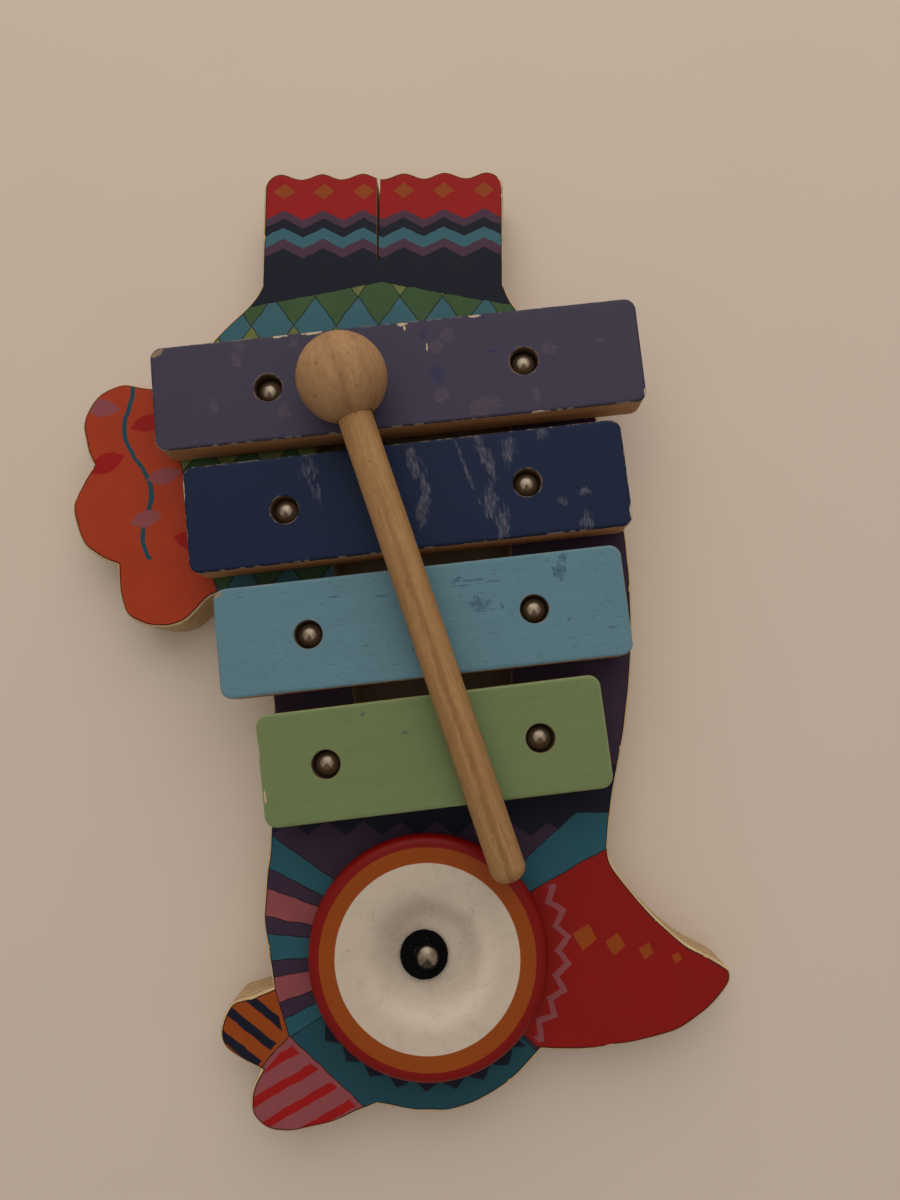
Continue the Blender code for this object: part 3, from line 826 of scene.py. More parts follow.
@dataclass
class Print:
    """The board's printed top: flat zones of colour with plain geometric ornament.

    Places are in millimetres in the frame. Shapes are worked out as distances that are positive
    inside, so that overlaps are minimums and an outline is a slightly wider copy below a shape.
    """

    recipe: Recipe
    vector: Socket
    cymbal: Point
    red: Colour = (0.270, 0.005, 0.004)
    # The beak's red: the tail's red made darker, a painted shade
    shaded_red: Colour = (0.220, 0.005, 0.003)
    orange: Colour = (0.325, 0.034, 0.008)
    amber: Colour = (0.255, 0.046, 0.004)
    pink: Colour = (0.230, 0.055, 0.060)
    plum: Colour = (0.034, 0.017, 0.036)
    mauve: Colour = (0.058, 0.026, 0.046)
    navy: Colour = (0.005, 0.006, 0.017)
    # On the chin this darker teal is partly a painted shadow of the cymbal; lagoon is the lighter
    # teal of the collar and the rays
    teal: Colour = (0.0110, 0.055, 0.072)
    lagoon: Colour = (0.0165, 0.077, 0.100)
    sky: Colour = (0.036, 0.108, 0.134)
    green: Colour = (0.128, 0.145, 0.043)
    fern: Colour = (0.038, 0.082, 0.029)
    line: Colour = (0.006, 0.005, 0.005)
    edge: float = 0.10
    line_width: float = 0.28
    sway: float = 1.1
    beak_turn: float = -5.6

    def __post_init__(self) -> None:
        """Work out the places in plan, which sway a little as hand-cut edges do."""
        inputs = {"Vector": self.vector, "Scale": 0.22, "Detail": 2.0}
        drift = self.recipe.node("ShaderNodeTexNoise", {}, inputs).outputs[1]
        shift = self.recipe.vectors("SUBTRACT", drift, (0.5,) * 3).outputs[0]
        sway = (self.sway,) * 3
        moved = self.recipe.vectors("MULTIPLY_ADD", shift, sway, self.vector).outputs[0]
        self.flat = self.recipe.stretched(moved, FLATTENED)
        self.x, self.y, _ = self.recipe.axes(self.flat)

    def patch(
        self, under: Source, shape: Signal, colour: Source, lined: bool = True
    ) -> Socket:
        """Lay a colour over others.

        Args:
            under: The colours below.
            shape: Positive where the patch is.
            colour: The patch's colour.
            lined: Whether a thin dark line runs round it.

        Returns:
            The colours with the patch.
        """
        if lined:
            rim = shape.above(-self.line_width, self.edge)
            under = self.recipe.mix(rim, under, self.line)
        return self.recipe.mix(shape.above(0.0, self.edge), under, colour)

    def side(self, flat: Socket, start: Point, end: Point) -> Signal:
        """Distance from a line, which is the way along its normal.

        Args:
            flat: Coordinates in plan.
            start: A place on the line.
            end: A place further on.

        Returns:
            The distance, positive to the left of the line.
        """
        length = math.dist(start, end)
        normal = (-(end[1] - start[1]) / length, (end[0] - start[0]) / length, 0.0)
        offset = start[0] * normal[0] + start[1] * normal[1]
        return self.recipe.along(flat, normal) - offset

    def leaf(self, centre: Point, size: Point, turn: float) -> Signal:
        """A pointed leaf: its width falls with the square of the way from its middle.

        Args:
            centre: The leaf's middle.
            size: Its length and width.
            turn: How it is turned, in degrees.

        Returns:
            The leaf's shape.
        """
        turns, scale = (0.0, 0.0, math.radians(turn)), (size[0] / 2, size[1] / 2, BIG)
        placed = self.recipe.fitted(self.flat, (*centre, 0.0), turns, scale)
        way, aside, _ = self.recipe.axes(placed)
        return (1.0 - way * way - abs(aside)) * (size[1] / 2)

    def sector(self, angle: Signal, reach: Signal, middle: float, half: float) -> Signal:
        """A sector round the cymbal, from its middle and half its width in degrees."""
        return (math.radians(half) - abs(angle - math.radians(middle))) * reach

    def tail(self, under: Source) -> Socket:
        """A red end with a row of lozenges over chevron stripes.

        Args:
            under: The colours below.

        Returns:
            The colours with the tail.
        """
        pitch, middle, low, high = 12.9, 3.6, 108.0, 148.0
        climb = self.y - (self.x + middle).zigzag(pitch, 3.4)
        bands = (
            (low, self.navy), (117.4, self.mauve), (120.6, self.sky), (124.3, self.navy),
            (127.4, self.mauve), (130.3, self.red),
        )
        stops = [((place - low) / (high - low), colour) for place, colour in bands]
        way = (climb - low) / (high - low)
        stripes = self.recipe.node("ShaderNodeValToRGB", {"stops": stops}, {0: way}).outputs[0]
        roof = self.y - 109.5 + abs(self.x + 4.0) * 0.19
        under = self.patch(under, roof, stripes)
        row = (self.x + middle + pitch / 2).zigzag(pitch, pitch / 2)
        lozenge = 2.7 - row * 0.8 - abs(self.y - 140.1)
        return self.patch(under, lozenge, self.amber, False)

    def rump(self, under: Source) -> Socket:
        """A harlequin of green, fern and teal lozenges below the tail and down the left flank.

        Args:
            under: The colours below.

        Returns:
            The colours with the rump.
        """
        width, height, shift = 13.5, 19.0, 0.35
        rise = self.recipe.along(self.flat, (1 / width, 1 / height, 0.0)) + shift
        fall = self.recipe.along(self.flat, (1 / width, -1 / height, 0.0)) + shift
        turn = (rise.floor() + fall.floor() * 2.0).remainder(3.0)
        colour = self.recipe.mix(turn.above(0.5, 0.1), self.green, self.sky)
        colour = self.recipe.mix(turn.above(1.5, 0.1), colour, self.fern)
        seam = abs(rise.remainder(1.0) - 0.5).at_least(abs(fall.remainder(1.0) - 0.5))
        colour = self.recipe.mix(seam.above(0.487, 0.006), colour, self.line)
        flank = self.side(self.flat, (6.0, -2.0), (56.0, 104.0)).at_most(self.y - 3.0)
        return self.patch(under, flank, colour)

    def wing(self, under: Source) -> Socket:
        """Orange, with a wavy stem and leaves to both sides of it.

        Args:
            under: The colours below.

        Returns:
            The colours with the wing.
        """
        joint = self.side(self.flat, (-53.0, 8.0), (-77.0, 84.0))
        under = self.patch(under, joint.at_most(self.y + 4.0), self.orange)
        from_stem = self.recipe.along(self.flat, (0.978, 0.208, 0.0)) + 67.5
        stem = 0.75 - abs(from_stem - (self.y * (math.tau / 34.0)).sine() * 2.6)
        stem = stem.at_most(self.y - 20.0).at_most(92.0 - self.y)
        under = self.patch(under, stem, self.teal, False)
        leaves = (
            ((-87.5, 86.5), (13.0, 6.2), 152.0, self.red),
            ((-80.5, 79.0), (9.0, 4.6), 38.0, self.pink),
            ((-92.0, 68.5), (12.0, 5.6), 172.0, self.pink),
            ((-77.5, 63.5), (11.0, 5.4), 20.0, self.red),
            ((-90.0, 50.5), (13.0, 6.2), 205.0, self.red),
            ((-71.5, 46.5), (11.0, 5.2), 14.0, self.pink),
            ((-76.5, 33.0), (10.5, 5.2), 196.0, self.pink),
            ((-62.5, 26.0), (11.0, 5.6), -12.0, self.red),
        )
        for centre, size, turn, colour in leaves:
            under = self.patch(under, self.leaf(centre, size, turn), colour, False)
        return under

    def body(self, under: Source) -> Socket:
        """A navy band with plum teeth below the lowest bar."""
        teeth = self.y + 63.0 - (self.x + 2.0).zigzag(11.0, 4.2)
        return self.patch(under, teeth.at_most(-42.0 - self.y), self.navy, False)

    def head(self, under: Source) -> Socket:
        """Rays round the cymbal: a teal collar, a toothed teal chin and pink and teal rays.

        Args:
            under: The colours below.

        Returns:
            The colours with the head.
        """
        centred = self.recipe.fitted(self.flat, (*self.cymbal, 0.0), ZERO, PLAN)
        dx, dy, _ = self.recipe.axes(centred)
        reach = self.recipe.reach(centred)
        angle = dy.maths("ARCTAN2", dy, dx)
        mirrored = dy.maths("ARCTAN2", dy, 0.0 - dx)
        pitch, half_ray = math.radians(15.0), math.radians(4.4)
        count = mirrored / pitch + 0.5
        ray = (half_ray - abs(count.remainder(1.0) - 0.5) * pitch) * reach
        ray = ray.at_most(self.sector(mirrored, reach, 0.0, 36.5))
        colours = self.recipe.mix(count.floor().remainder(2.0), self.lagoon, self.pink)
        under = self.patch(under, ray, colours)
        # The chin's darker teal is partly a painted shadow of the cymbal
        chin = self.sector(angle, reach, -95.0, 53.0)
        under = self.patch(under, chin, self.teal)
        tooth = 36.6 + (angle * 36.0).zigzag(7.6, 3.0) - reach
        under = self.patch(under, tooth.at_most(chin - 1.2), self.navy, False)
        collar = self.sector(angle, reach, 35.6, 6.6)
        under = self.patch(under, collar, self.lagoon)
        beak = self.sector(angle, reach, self.beak_turn, 34.6)
        # The beak takes the darker red, a painted shade of the tail's paint
        under = self.patch(under, beak, self.shaded_red)
        return self.beak(angle, reach, under)

    def beak(self, angle: Signal, reach: Signal, under: Source) -> Socket:
        """A pink zigzag near the cymbal and amber lozenges that shrink towards the beak's tip.

        Args:
            angle: Direction from the cymbal's axis, in radians.
            reach: Distance from the cymbal's axis.
            under: The colours below.

        Returns:
            The colours with the beak's ornament.
        """
        zigzag = 0.85 - abs(reach - 37.6 - (angle * 40.0).zigzag(7.4, 3.2)) * 0.78
        inner = self.sector(angle, reach, self.beak_turn, 33.0)
        under = self.patch(under, zigzag.at_most(inner), self.pink, False)
        pitch = 9.0
        turn = (0.0, 0.0, math.radians(-12.0))
        placed = self.recipe.fitted(self.flat, (58.0, -91.5, 0.0), turn, PLAN)
        way, aside, _ = self.recipe.axes(placed)
        lozenge = 3.6 - way * 0.075 - way.zigzag(pitch, pitch / 2) - abs(aside) * 0.9
        inside = (way + pitch / 2).at_most(31.0 - way)
        return self.patch(under, lozenge.at_most(inside), self.amber, False)

    def crest(self, under: Source) -> Socket:
        """An amber lobe with navy stripes above a pink lobe with red stripes.

        Args:
            under: The colours below.

        Returns:
            The colours with the crest.
        """
        below = -96.0 - self.y
        margin = 1.2
        joint = self.side(self.flat, (-28.2, -121.5), (-33.4, -105.6))
        parting = self.side(self.flat, (-37.5, -130.4), (-27.6, -119.4))
        upper = joint.at_most(parting).at_most(below)
        under = self.patch(under, upper, self.amber)
        stripe = self.recipe.along(self.flat, (0.60, 0.80, 0.0)).zigzag(6.4, 3.2) - 1.9
        under = self.patch(under, stripe.at_most(upper - margin), self.navy, False)
        cheek = self.side(self.flat, (-4.0, -141.5), (-28.6, -120.0))
        lower = cheek.at_most(0.0 - parting).at_most(below)
        under = self.patch(under, lower, self.pink)
        stripe = self.recipe.along(self.flat, (-0.50, 0.87, 0.0)).zigzag(7.0, 3.5) - 2.2
        return self.patch(under, stripe.at_most(lower - margin), self.red, False)

    def look(self) -> Look:
        """The whole print, with hand-cut edges and the mottle of printed wood.

        Returns:
            The print's look.
        """
        colour = self.wing(self.tail(self.body(self.rump(self.plum))))
        below_neck = (-56.0 - self.y).above(0.0, 0.1)
        colour = self.recipe.mix(below_neck, colour, self.head(colour))
        colour = self.crest(colour)
        cloud = self.recipe.noise(self.vector, 0.13, 4.0)
        grit = self.recipe.noise(self.vector, 2.2, 3.0)
        colour = self.recipe.dim(colour, 0.84 + cloud * 0.22 + grit * 0.10)
        return Look(colour, 0.46 + cloud * 0.12, grit * 0.03)


# Shapes


def bezier(
    start: np.ndarray, first: np.ndarray, second: np.ndarray, end: np.ndarray, ways: np.ndarray
) -> np.ndarray:
    """Points on cubic Bezier curves, one curve after the other.

    At a way t a curve is at (1-t)^3 start + 3(1-t)^2 t first + 3(1-t) t^2 second + t^3 end.

    Args:
        start: Where each curve starts.
        first: Its first handle.
        second: Its second handle.
        end: Where it ends.
        ways: The ways from 0 to 1 at which every curve gives a point.

    Returns:
        The points.
    """
    way = ways[None, :, None]
    points = (
        (1 - way) ** 3 * start[:, None] + 3 * (1 - way) ** 2 * way * first[:, None]
        + 3 * (1 - way) * way ** 2 * second[:, None] + way ** 3 * end[:, None]
    )
    return points.reshape(-1, start.shape[1])


def smooth_path(points: np.ndarray, steps: int) -> np.ndarray:
    """Points on a smooth curve through given ones, without its last point.

    Each stretch is a cubic Bezier curve. Its handles lie a sixth of the way between the
    neighbours on either side, so the stretches meet without a corner.

    Args:
        points: The given points, one per row.
        steps: How many points each stretch gives.

    Returns:
        The curve's points.
    """
    ends = np.concatenate([points[:1], points, points[-1:]])
    start, end = ends[1:-2], ends[2:-1]
    first = start + (end - ends[:-3]) / 6
    second = end - (ends[3:] - start) / 6
    return bezier(start, first, second, end, np.arange(steps) / steps)


def unit_rows(rows: np.ndarray) -> np.ndarray:
    """Vectors, one per row, each divided by its length."""
    return rows / np.linalg.norm(rows, axis=1)[:, None]


def mitres(outline: np.ndarray) -> np.ndarray:
    """Steps that move each corner of a counter-clockwise outline inwards by one unit.

    Each is the sum of the two sides' inward normals over one plus their dot product.

    Args:
        outline: The outline's corners.

    Returns:
        One step for each corner.
    """
    ahead = unit_rows(np.roll(outline, -1, axis=0) - outline)
    after = np.stack([-ahead[:, 1], ahead[:, 0]], axis=1)
    before = np.roll(after, 1, axis=0)
    return (after + before) / (1 + (after * before).sum(axis=1))[:, None]


def grid_quads(rows: int, columns: int, closed: bool = False) -> np.ndarray:
    """Quads of a grid whose points are numbered along its rows, and whose columns wrap round.

    Args:
        rows: How many rows of points it has.
        columns: How many points a row has.
        closed: Whether the last row joins the first.

    Returns:
        The quads' point numbers.
    """
    row = np.arange(rows if closed else rows - 1)[:, None]
    column = np.arange(columns)[None, :]
    low, high = row * columns, (row + 1) % rows * columns
    following = (column + 1) % columns
    quads = [low + column, low + following, high + following, high + column]
    return np.stack(quads, axis=-1).reshape(-1, 4)


def quarter(start: Point, centre: Point, steps: int) -> np.ndarray:
    """Points on a counter-clockwise quarter turn: the start's offset times cosine and sine.

    Args:
        start: The first point.
        centre: What it turns about.
        steps: How many steps the turn has.

    Returns:
        The points, with both ends.
    """
    angle = np.linspace(0.0, math.pi / 2, steps + 1)
    across, up = start[0] - centre[0], start[1] - centre[1]
    return np.stack([
        centre[0] + across * np.cos(angle) - up * np.sin(angle),
        centre[1] + across * np.sin(angle) + up * np.cos(angle),
    ], axis=1)


def rounded_wall(
    thickness: float, rim: float, ledge: float = 0.0005, steps: int = 6
) -> np.ndarray:
    """Section of a slab's edge, whose rims are quarter circles.

    Args:
        thickness: The slab's thickness.
        rim: The rims' radius.
        ledge: How far the flat sides reach in beyond the rims.
        steps: How many steps a rim has.

    Returns:
        Rows of inset and height, from the underside to the top.
    """
    angle = np.linspace(0.0, math.pi / 2, steps + 1)
    low = rim - rim * np.stack([np.sin(angle), np.cos(angle)], axis=1)
    high = low[::-1] * (1, -1) + (0, thickness)
    return np.concatenate([[(rim + ledge, 0.0)], low, high, [(rim + ledge, thickness)]])


def make_piece(name: str, vertices: np.ndarray, faces: list, materials: list) -> bpy.types.Object:
    """Make a closed mesh into an object, with doubles merged and normals outwards.

    Args:
        name: The piece's name.
        vertices: Its points, in the frame.
        faces: Its faces, as lists of point numbers.
        materials: Its materials.

    Returns:
        The object, at the origin.
    """
    mesh = bpy.data.meshes.new(name)
    mesh.from_pydata(vertices.tolist(), [], faces)
    shape = bmesh.new()
    shape.from_mesh(mesh)
    bmesh.ops.remove_doubles(shape, verts=shape.verts, dist=WELD)
    bmesh.ops.recalc_face_normals(shape, faces=shape.faces)
    shape.to_mesh(mesh)
    shape.free()
    for material in materials:
        mesh.materials.append(material)
    piece = bpy.data.objects.new(name, mesh)
    bpy.context.collection.objects.link(piece)
    soften(piece)
    return piece


def soften(piece: bpy.types.Object) -> None:
    """Shade a piece smooth, with sharp edges where it turns a corner."""
    piece.data.shade_smooth()
    piece.data.set_sharp_from_angle(angle=SMOOTH_ANGLE)


def swept(
    outline: np.ndarray, wall: np.ndarray, worn: np.ndarray | None = None
) -> tuple[np.ndarray, list]:
    """A slab: the wall's section carried round a counter-clockwise outline, with both ends closed.

    A point is the outline's corner, moved inwards by the section's inset, at the section's height.

    Args:
        outline: The outline's corners.
        wall: The section, as (inset, height) rows.
        worn: Factor on the inset at each corner, for an uneven rim.

    Returns:
        The points and the faces.
    """
    inset = wall[:, None, :1] * (1.0 if worn is None else worn[None, :, None])
    rings = outline[None] + inset * mitres(outline)[None]
    heights = np.broadcast_to(wall[:, None, 1:], (len(wall), len(outline), 1))
    vertices = np.concatenate([rings, heights], axis=2).reshape(-1, 3)
    count = len(outline)
    faces = grid_quads(len(wall), count).tolist()
    last = (len(wall) - 1) * count
    return vertices, faces + [list(range(count))[::-1], list(range(last, last + count))]


def lathed(section: np.ndarray, sides: int, closed: bool = False) -> tuple[np.ndarray, list]:
    """A turned solid: the section's (radius, height) rows carried round the Z axis.

    Args:
        section: The section, from pole to pole, or a loop where it is closed.
        sides: How many steps the full turn has.
        closed: Whether the section's end joins its start.

    Returns:
        The points and the faces.
    """
    angle = np.arange(sides) / sides * math.tau
    around = np.stack([np.cos(angle), np.sin(angle)], axis=1)
    flat = section[:, None, :1] * around[None]
    heights = np.broadcast_to(section[:, None, 1:], (len(section), sides, 1))
    vertices = np.concatenate([flat, heights], axis=2).reshape(-1, 3)
    return vertices, grid_quads(len(section), sides, closed).tolist()


def ripple(points: np.ndarray, size: float, pitch: float, seed: int) -> np.ndarray:
    """Smooth uneven values: a sum of eight sine waves with seeded headings and phases.

    Args:
        points: Where the values are taken.
        size: About how large they are.
        pitch: The waves' mean length.
        seed: The waves' seed.

    Returns:
        One value for each point.
    """
    waves = 8
    chance = np.random.default_rng(seed)
    headings = unit_rows(chance.normal(size=(waves, points.shape[1])))
    rates = math.tau / (pitch * chance.uniform(0.6, 1.6, waves))
    phases = chance.uniform(0.0, math.tau, waves)
    return size / 3 * np.sin(points @ headings.T * rates + phases).sum(axis=1)


def carve(piece: bpy.types.Object, cutters: list[bpy.types.Object]) -> None:
    """Cut shapes out of a piece for good, and remove the cutters.

    Args:
        piece: What is cut.
        cutters: The shapes.
    """
    for cutter in cutters:
        difference = piece.modifiers.new(cutter.name, "BOOLEAN")
        difference.operation = "DIFFERENCE"
        difference.solver = "EXACT"
        difference.object = cutter
    done = piece.evaluated_get(bpy.context.evaluated_depsgraph_get())
    mesh = bpy.data.meshes.new_from_object(done)
    piece.modifiers.clear()
    piece.data = mesh
    for cutter in cutters:
        bpy.data.objects.remove(cutter, do_unlink=True)
    soften(piece)


def set_place(vertices: np.ndarray, place: Matrix) -> np.ndarray:
    """Points moved and turned by a matrix."""
    turn = np.array(place.to_3x3())
    return vertices @ turn.T + np.array(place.translation)


@dataclass
class Board:
    """The bird-shaped board: a swept slab with a pocket, a kerf and nail holes."""

    width: float = 0.1996
    thickness: float = 0.018
    rim: float = 0.0012
    row_length: float = 0.1424
    head_length: float = 0.0934
    tail_length: float = 0.0576
    tail_width: float = 0.0772
    tail_x_share: float = -0.019
    tail_foot_share: float = 1.335
    tail_corner: float = 0.0055
    tail_wave: float = 0.0019
    tail_waves: int = 5
    kerf_length: float = 0.030
    kerf_mouth: float = 0.0013
    kerf_tip: float = 0.0005
    kerf_x_share: float = -0.027
    pocket_corner: float = 0.006
    pocket_floor: float = 0.006
    overrun: float = 0.002
    steps: int = 9
    wave_steps: int = 16
    corner_steps: int = 12
    worn_share: float = 0.16
    worn_pitch: float = 0.009
    seed: int = 11
    frame_shift: float = -0.0533
    runs: tuple = (
        (  # Right flank
            (0.325, -0.132), (0.334, 0.017), (0.357, 0.183), (0.368, 0.378), (0.360, 0.573),
            (0.334, 0.762), (0.282, 0.945), (0.198, 1.184),
        ),
        ((-0.229, 1.241), (-0.291, 1.014), (-0.347, 0.899)),  # Shoulder
        (  # Upper feather
            (-0.347, 0.899), (-0.387, 0.902), (-0.430, 0.910), (-0.470, 0.883), (-0.490, 0.824),
            (-0.483, 0.765), (-0.471, 0.727),
        ),
        (  # Middle feather
            (-0.471, 0.727), (-0.489, 0.679), (-0.500, 0.627), (-0.483, 0.556), (-0.460, 0.525),
            (-0.426, 0.502),
        ),
        (  # Lower feather
            (-0.426, 0.502), (-0.420, 0.439), (-0.403, 0.388), (-0.362, 0.368), (-0.320, 0.378),
            (-0.282, 0.430), (-0.259, 0.444),
        ),
        (  # Left flank
            (-0.259, 0.444), (-0.223, 0.350), (-0.181, 0.228), (-0.176, 0.074), (-0.178, -0.123),
            (-0.185, -0.329), (-0.177, -0.466), (-0.168, -0.573),
        ),
        (  # Upper crest lobe
            (-0.168, -0.573), (-0.199, -0.599), (-0.229, -0.623), (-0.244, -0.697),
            (-0.233, -0.760), (-0.183, -0.819),
        ),
        (  # Lower crest lobe
            (-0.183, -0.819), (-0.196, -0.885), (-0.191, -0.958), (-0.153, -1.000),
            (-0.083, -0.974), (-0.014, -0.914),
        ),
        (  # Chin
            (-0.014, -0.914), (0.055, -0.935), (0.113, -0.920), (0.176, -0.849), (0.225, -0.748),
        ),
        (  # Beak
            (0.225, -0.748), (0.300, -0.745), (0.407, -0.699), (0.462, -0.631), (0.493, -0.561),
            (0.500, -0.519), (0.488, -0.486), (0.428, -0.414), (0.372, -0.300), (0.333, -0.193),
            (0.325, -0.132),
        ),
    )
    pocket_corners: tuple = (
        (-0.00765, -0.03997), (0.03669, -0.03445), (0.03669, 0.07663), (-0.02683, 0.07013),
    )

    def places(self, shares: tuple) -> np.ndarray:
        """Plan places from shares.

        Args:
            shares: Pairs. The first share is of the width. The second runs from -1 to 0 along
                the head, from 0 to 1 along the row of bars and from 1 to 2 along the tail.

        Returns:
            The places.
        """
        across, along = np.array(shares).T
        row_and_tail = self.row_length + (along - 1.0) * self.tail_length
        y = np.where(along <= 1.0, along * self.row_length, row_and_tail)
        y = np.where(along < 0.0, along * self.head_length, y)
        return np.stack([across * self.width, y + self.frame_shift], axis=1)

    def tail_foot(self, side: int) -> np.ndarray:
        """The foot of the tail's straight side, on the right for 1 and on the left for -1."""
        foot = self.places(((self.tail_x_share, self.tail_foot_share),))
        return foot + (side * self.tail_width / 2, 0.0)

    def tail_end(self) -> np.ndarray:
        """The tail's wavy end: two quarter turns, and between them a cosine wave.

        Returns:
            Its points, from right to left.
        """
        end = self.end()
        right = self.tail_foot(1)[0, 0] - self.tail_corner
        left = self.tail_foot(-1)[0, 0] + self.tail_corner
        low = end - self.tail_corner
        steps = self.tail_waves * self.wave_steps
        way = np.arange(1, steps) / steps
        dip = self.tail_wave / 2 * (1 - np.cos(math.tau * self.tail_waves * way))
        wave = np.stack([right + (left - right) * way, end - dip], axis=1)
        first = quarter((right + self.tail_corner, low), (right, low), self.corner_steps)
        last = quarter((left, end), (left, low), self.corner_steps)
        return np.concatenate([first, wave, last])

    def end(self) -> float:
        """Where the tail ends, along Y."""
        return self.row_length + self.tail_length + self.frame_shift

    def outline(self) -> np.ndarray:
        """The whole outline: smooth runs that meet at the notches, with the tail's end.

        Returns:
            Its corners, counter-clockwise.
        """
        flank = np.concatenate([self.places(self.runs[0]), self.tail_foot(1)])
        shoulder = np.concatenate([self.tail_foot(-1), self.places(self.runs[1])])
        parts = [smooth_path(flank, self.steps), self.tail_foot(1), self.tail_end()]
        parts += [smooth_path(shoulder, self.steps)]
        parts += [smooth_path(self.places(run), self.steps) for run in self.runs[2:]]
        return np.concatenate(parts)

    def pocket(self) -> np.ndarray:
        """The pocket's outline: four corners, each rounded by a Bezier curve of its two sides.

        The curve's handles reach 0.5523 of the way to the corner, as those of a circle's do.

        Returns:
            Its corners, counter-clockwise.
        """
        corners = np.array(self.pocket_corners)
        ahead = unit_rows(np.roll(corners, -1, axis=0) - corners)
        behind = -np.roll(ahead, 1, axis=0)
        half_turn = np.arccos((ahead * behind).sum(axis=1)) / 2
        cut = (self.pocket_corner / np.tan(half_turn))[:, None]
        start, end = corners + behind * cut, corners + ahead * cut
        handle = cut * 0.5523
        first, second = start - behind * handle, end - ahead * handle
        return bezier(start, first, second, end, np.linspace(0.0, 1.0, self.steps))

    def kerf(self) -> np.ndarray:
        """The saw kerf's outline, narrowing from the tail's end.

        Returns:
            Its corners, counter-clockwise.
        """
        x, tip, mouth = self.kerf_x_share * self.width, self.kerf_tip / 2, self.kerf_mouth / 2
        low, high = self.end() - self.kerf_length, self.end() + self.overrun
        return np.array([(x - tip, low), (x + tip, low), (x + mouth, high), (x - mouth, high)])

    def build(self, nails: list["Nail"], material: bpy.types.Material) -> bpy.types.Object:
        """Build the board round its nails.

        Args:
            nails: All the nails that stand in it.
            material: The board's finish.

        Returns:
            The board.
        """
        outline = self.outline()
        worn = 1.0 + ripple(outline, self.worn_share, self.worn_pitch, self.seed)
        wall = rounded_wall(self.thickness, self.rim)
        board = make_piece("board_dressed", *swept(outline, wall, worn), [material])
        top = self.thickness + self.overrun
        pocket = swept(self.pocket(), np.array([(0.0, self.pocket_floor), (0.0, top)]))
        kerf = swept(self.kerf(), np.array([(0.0, -self.overrun), (0.0, top)]))
        cutters = [make_piece("pocket_cutter", *pocket, []), make_piece("kerf_cutter", *kerf, [])]
        cutters += [nail.hole_cutter(top) for nail in nails]
        carve(board, cutters)
        return board


@dataclass
class Nail:
    """A domed nail: a shank with a point and a head whose dome is a quarter ellipse."""

    name: str
    centre: Point
    head_bottom: float
    lean: Point = (0.0, 0.0)
    radius: float = 0.0015
    head_radius: float = 0.0037
    head_height: float = 0.0028
    head_edge: float = 0.0001
    under_edge: float = 0.00006
    tip: float = 0.006
    point: float = 0.0025
    point_radius: float = 0.0004
    seat_height: float = 0.012
    clearance: float = 0.0003
    sides: int = 56
    hole_sides: int = 32
    dome_steps: int = 21

    def section(self) -> np.ndarray:
        """From the point up the shank, under the head and over its dome to the top.

        The dome's radius is the head's times the cosine, and its rise goes with the sine.

        Returns:
            Rows of radius and height.
        """
        angle = np.linspace(0.0, math.pi / 2, self.dome_steps + 1)
        rise = self.head_height - self.head_edge
        rim = self.head_bottom + self.head_edge
        dome = np.stack([self.head_radius * np.cos(angle), rim + rise * np.sin(angle)], axis=1)
        dome[-1, 0] = 0.0
        inner = self.head_radius - self.under_edge
        under = quarter((0.0, 0.0), (0.0, self.under_edge), 4) + (inner, self.head_bottom)
        shank = [
            (0.0, self.tip), (self.point_radius, self.tip), (self.radius, self.tip + self.point),
            (self.radius, self.head_bottom),
        ]
        return np.concatenate([shank, under, dome])

    def hole_cutter(self, top: float) -> bpy.types.Object:
        """Cutter for the nail's blind hole in the board.

        Args:
            top: A height above the board's top.

        Returns:
            The cutter.
        """
        radius, floor = self.radius + self.clearance, self.tip - self.clearance
        section = np.array([(0.0, floor), (radius, floor), (radius, top), (0.0, top)])
        vertices, faces = lathed(section, self.hole_sides)
        return make_piece(f"{self.name}_cutter", vertices + (*self.centre, 0.0), faces, [])

    def build(self, material: bpy.types.Material) -> bpy.types.Object:
        """Build the nail, leaning a little from its seat in the board.

        Args:
            material: Its finish.

        Returns:
            The nail.
        """
        vertices, faces = lathed(self.section(), self.sides)
        lean = Matrix.Rotation(self.lean[0], 3, "X") @ Matrix.Rotation(self.lean[1], 3, "Y")
        vertices = (vertices - (0.0, 0.0, self.seat_height)) @ np.array(lean).T
        vertices = vertices + (*self.centre, self.seat_height)
        return make_piece(f"{self.name}_dressed", vertices, faces, [material])


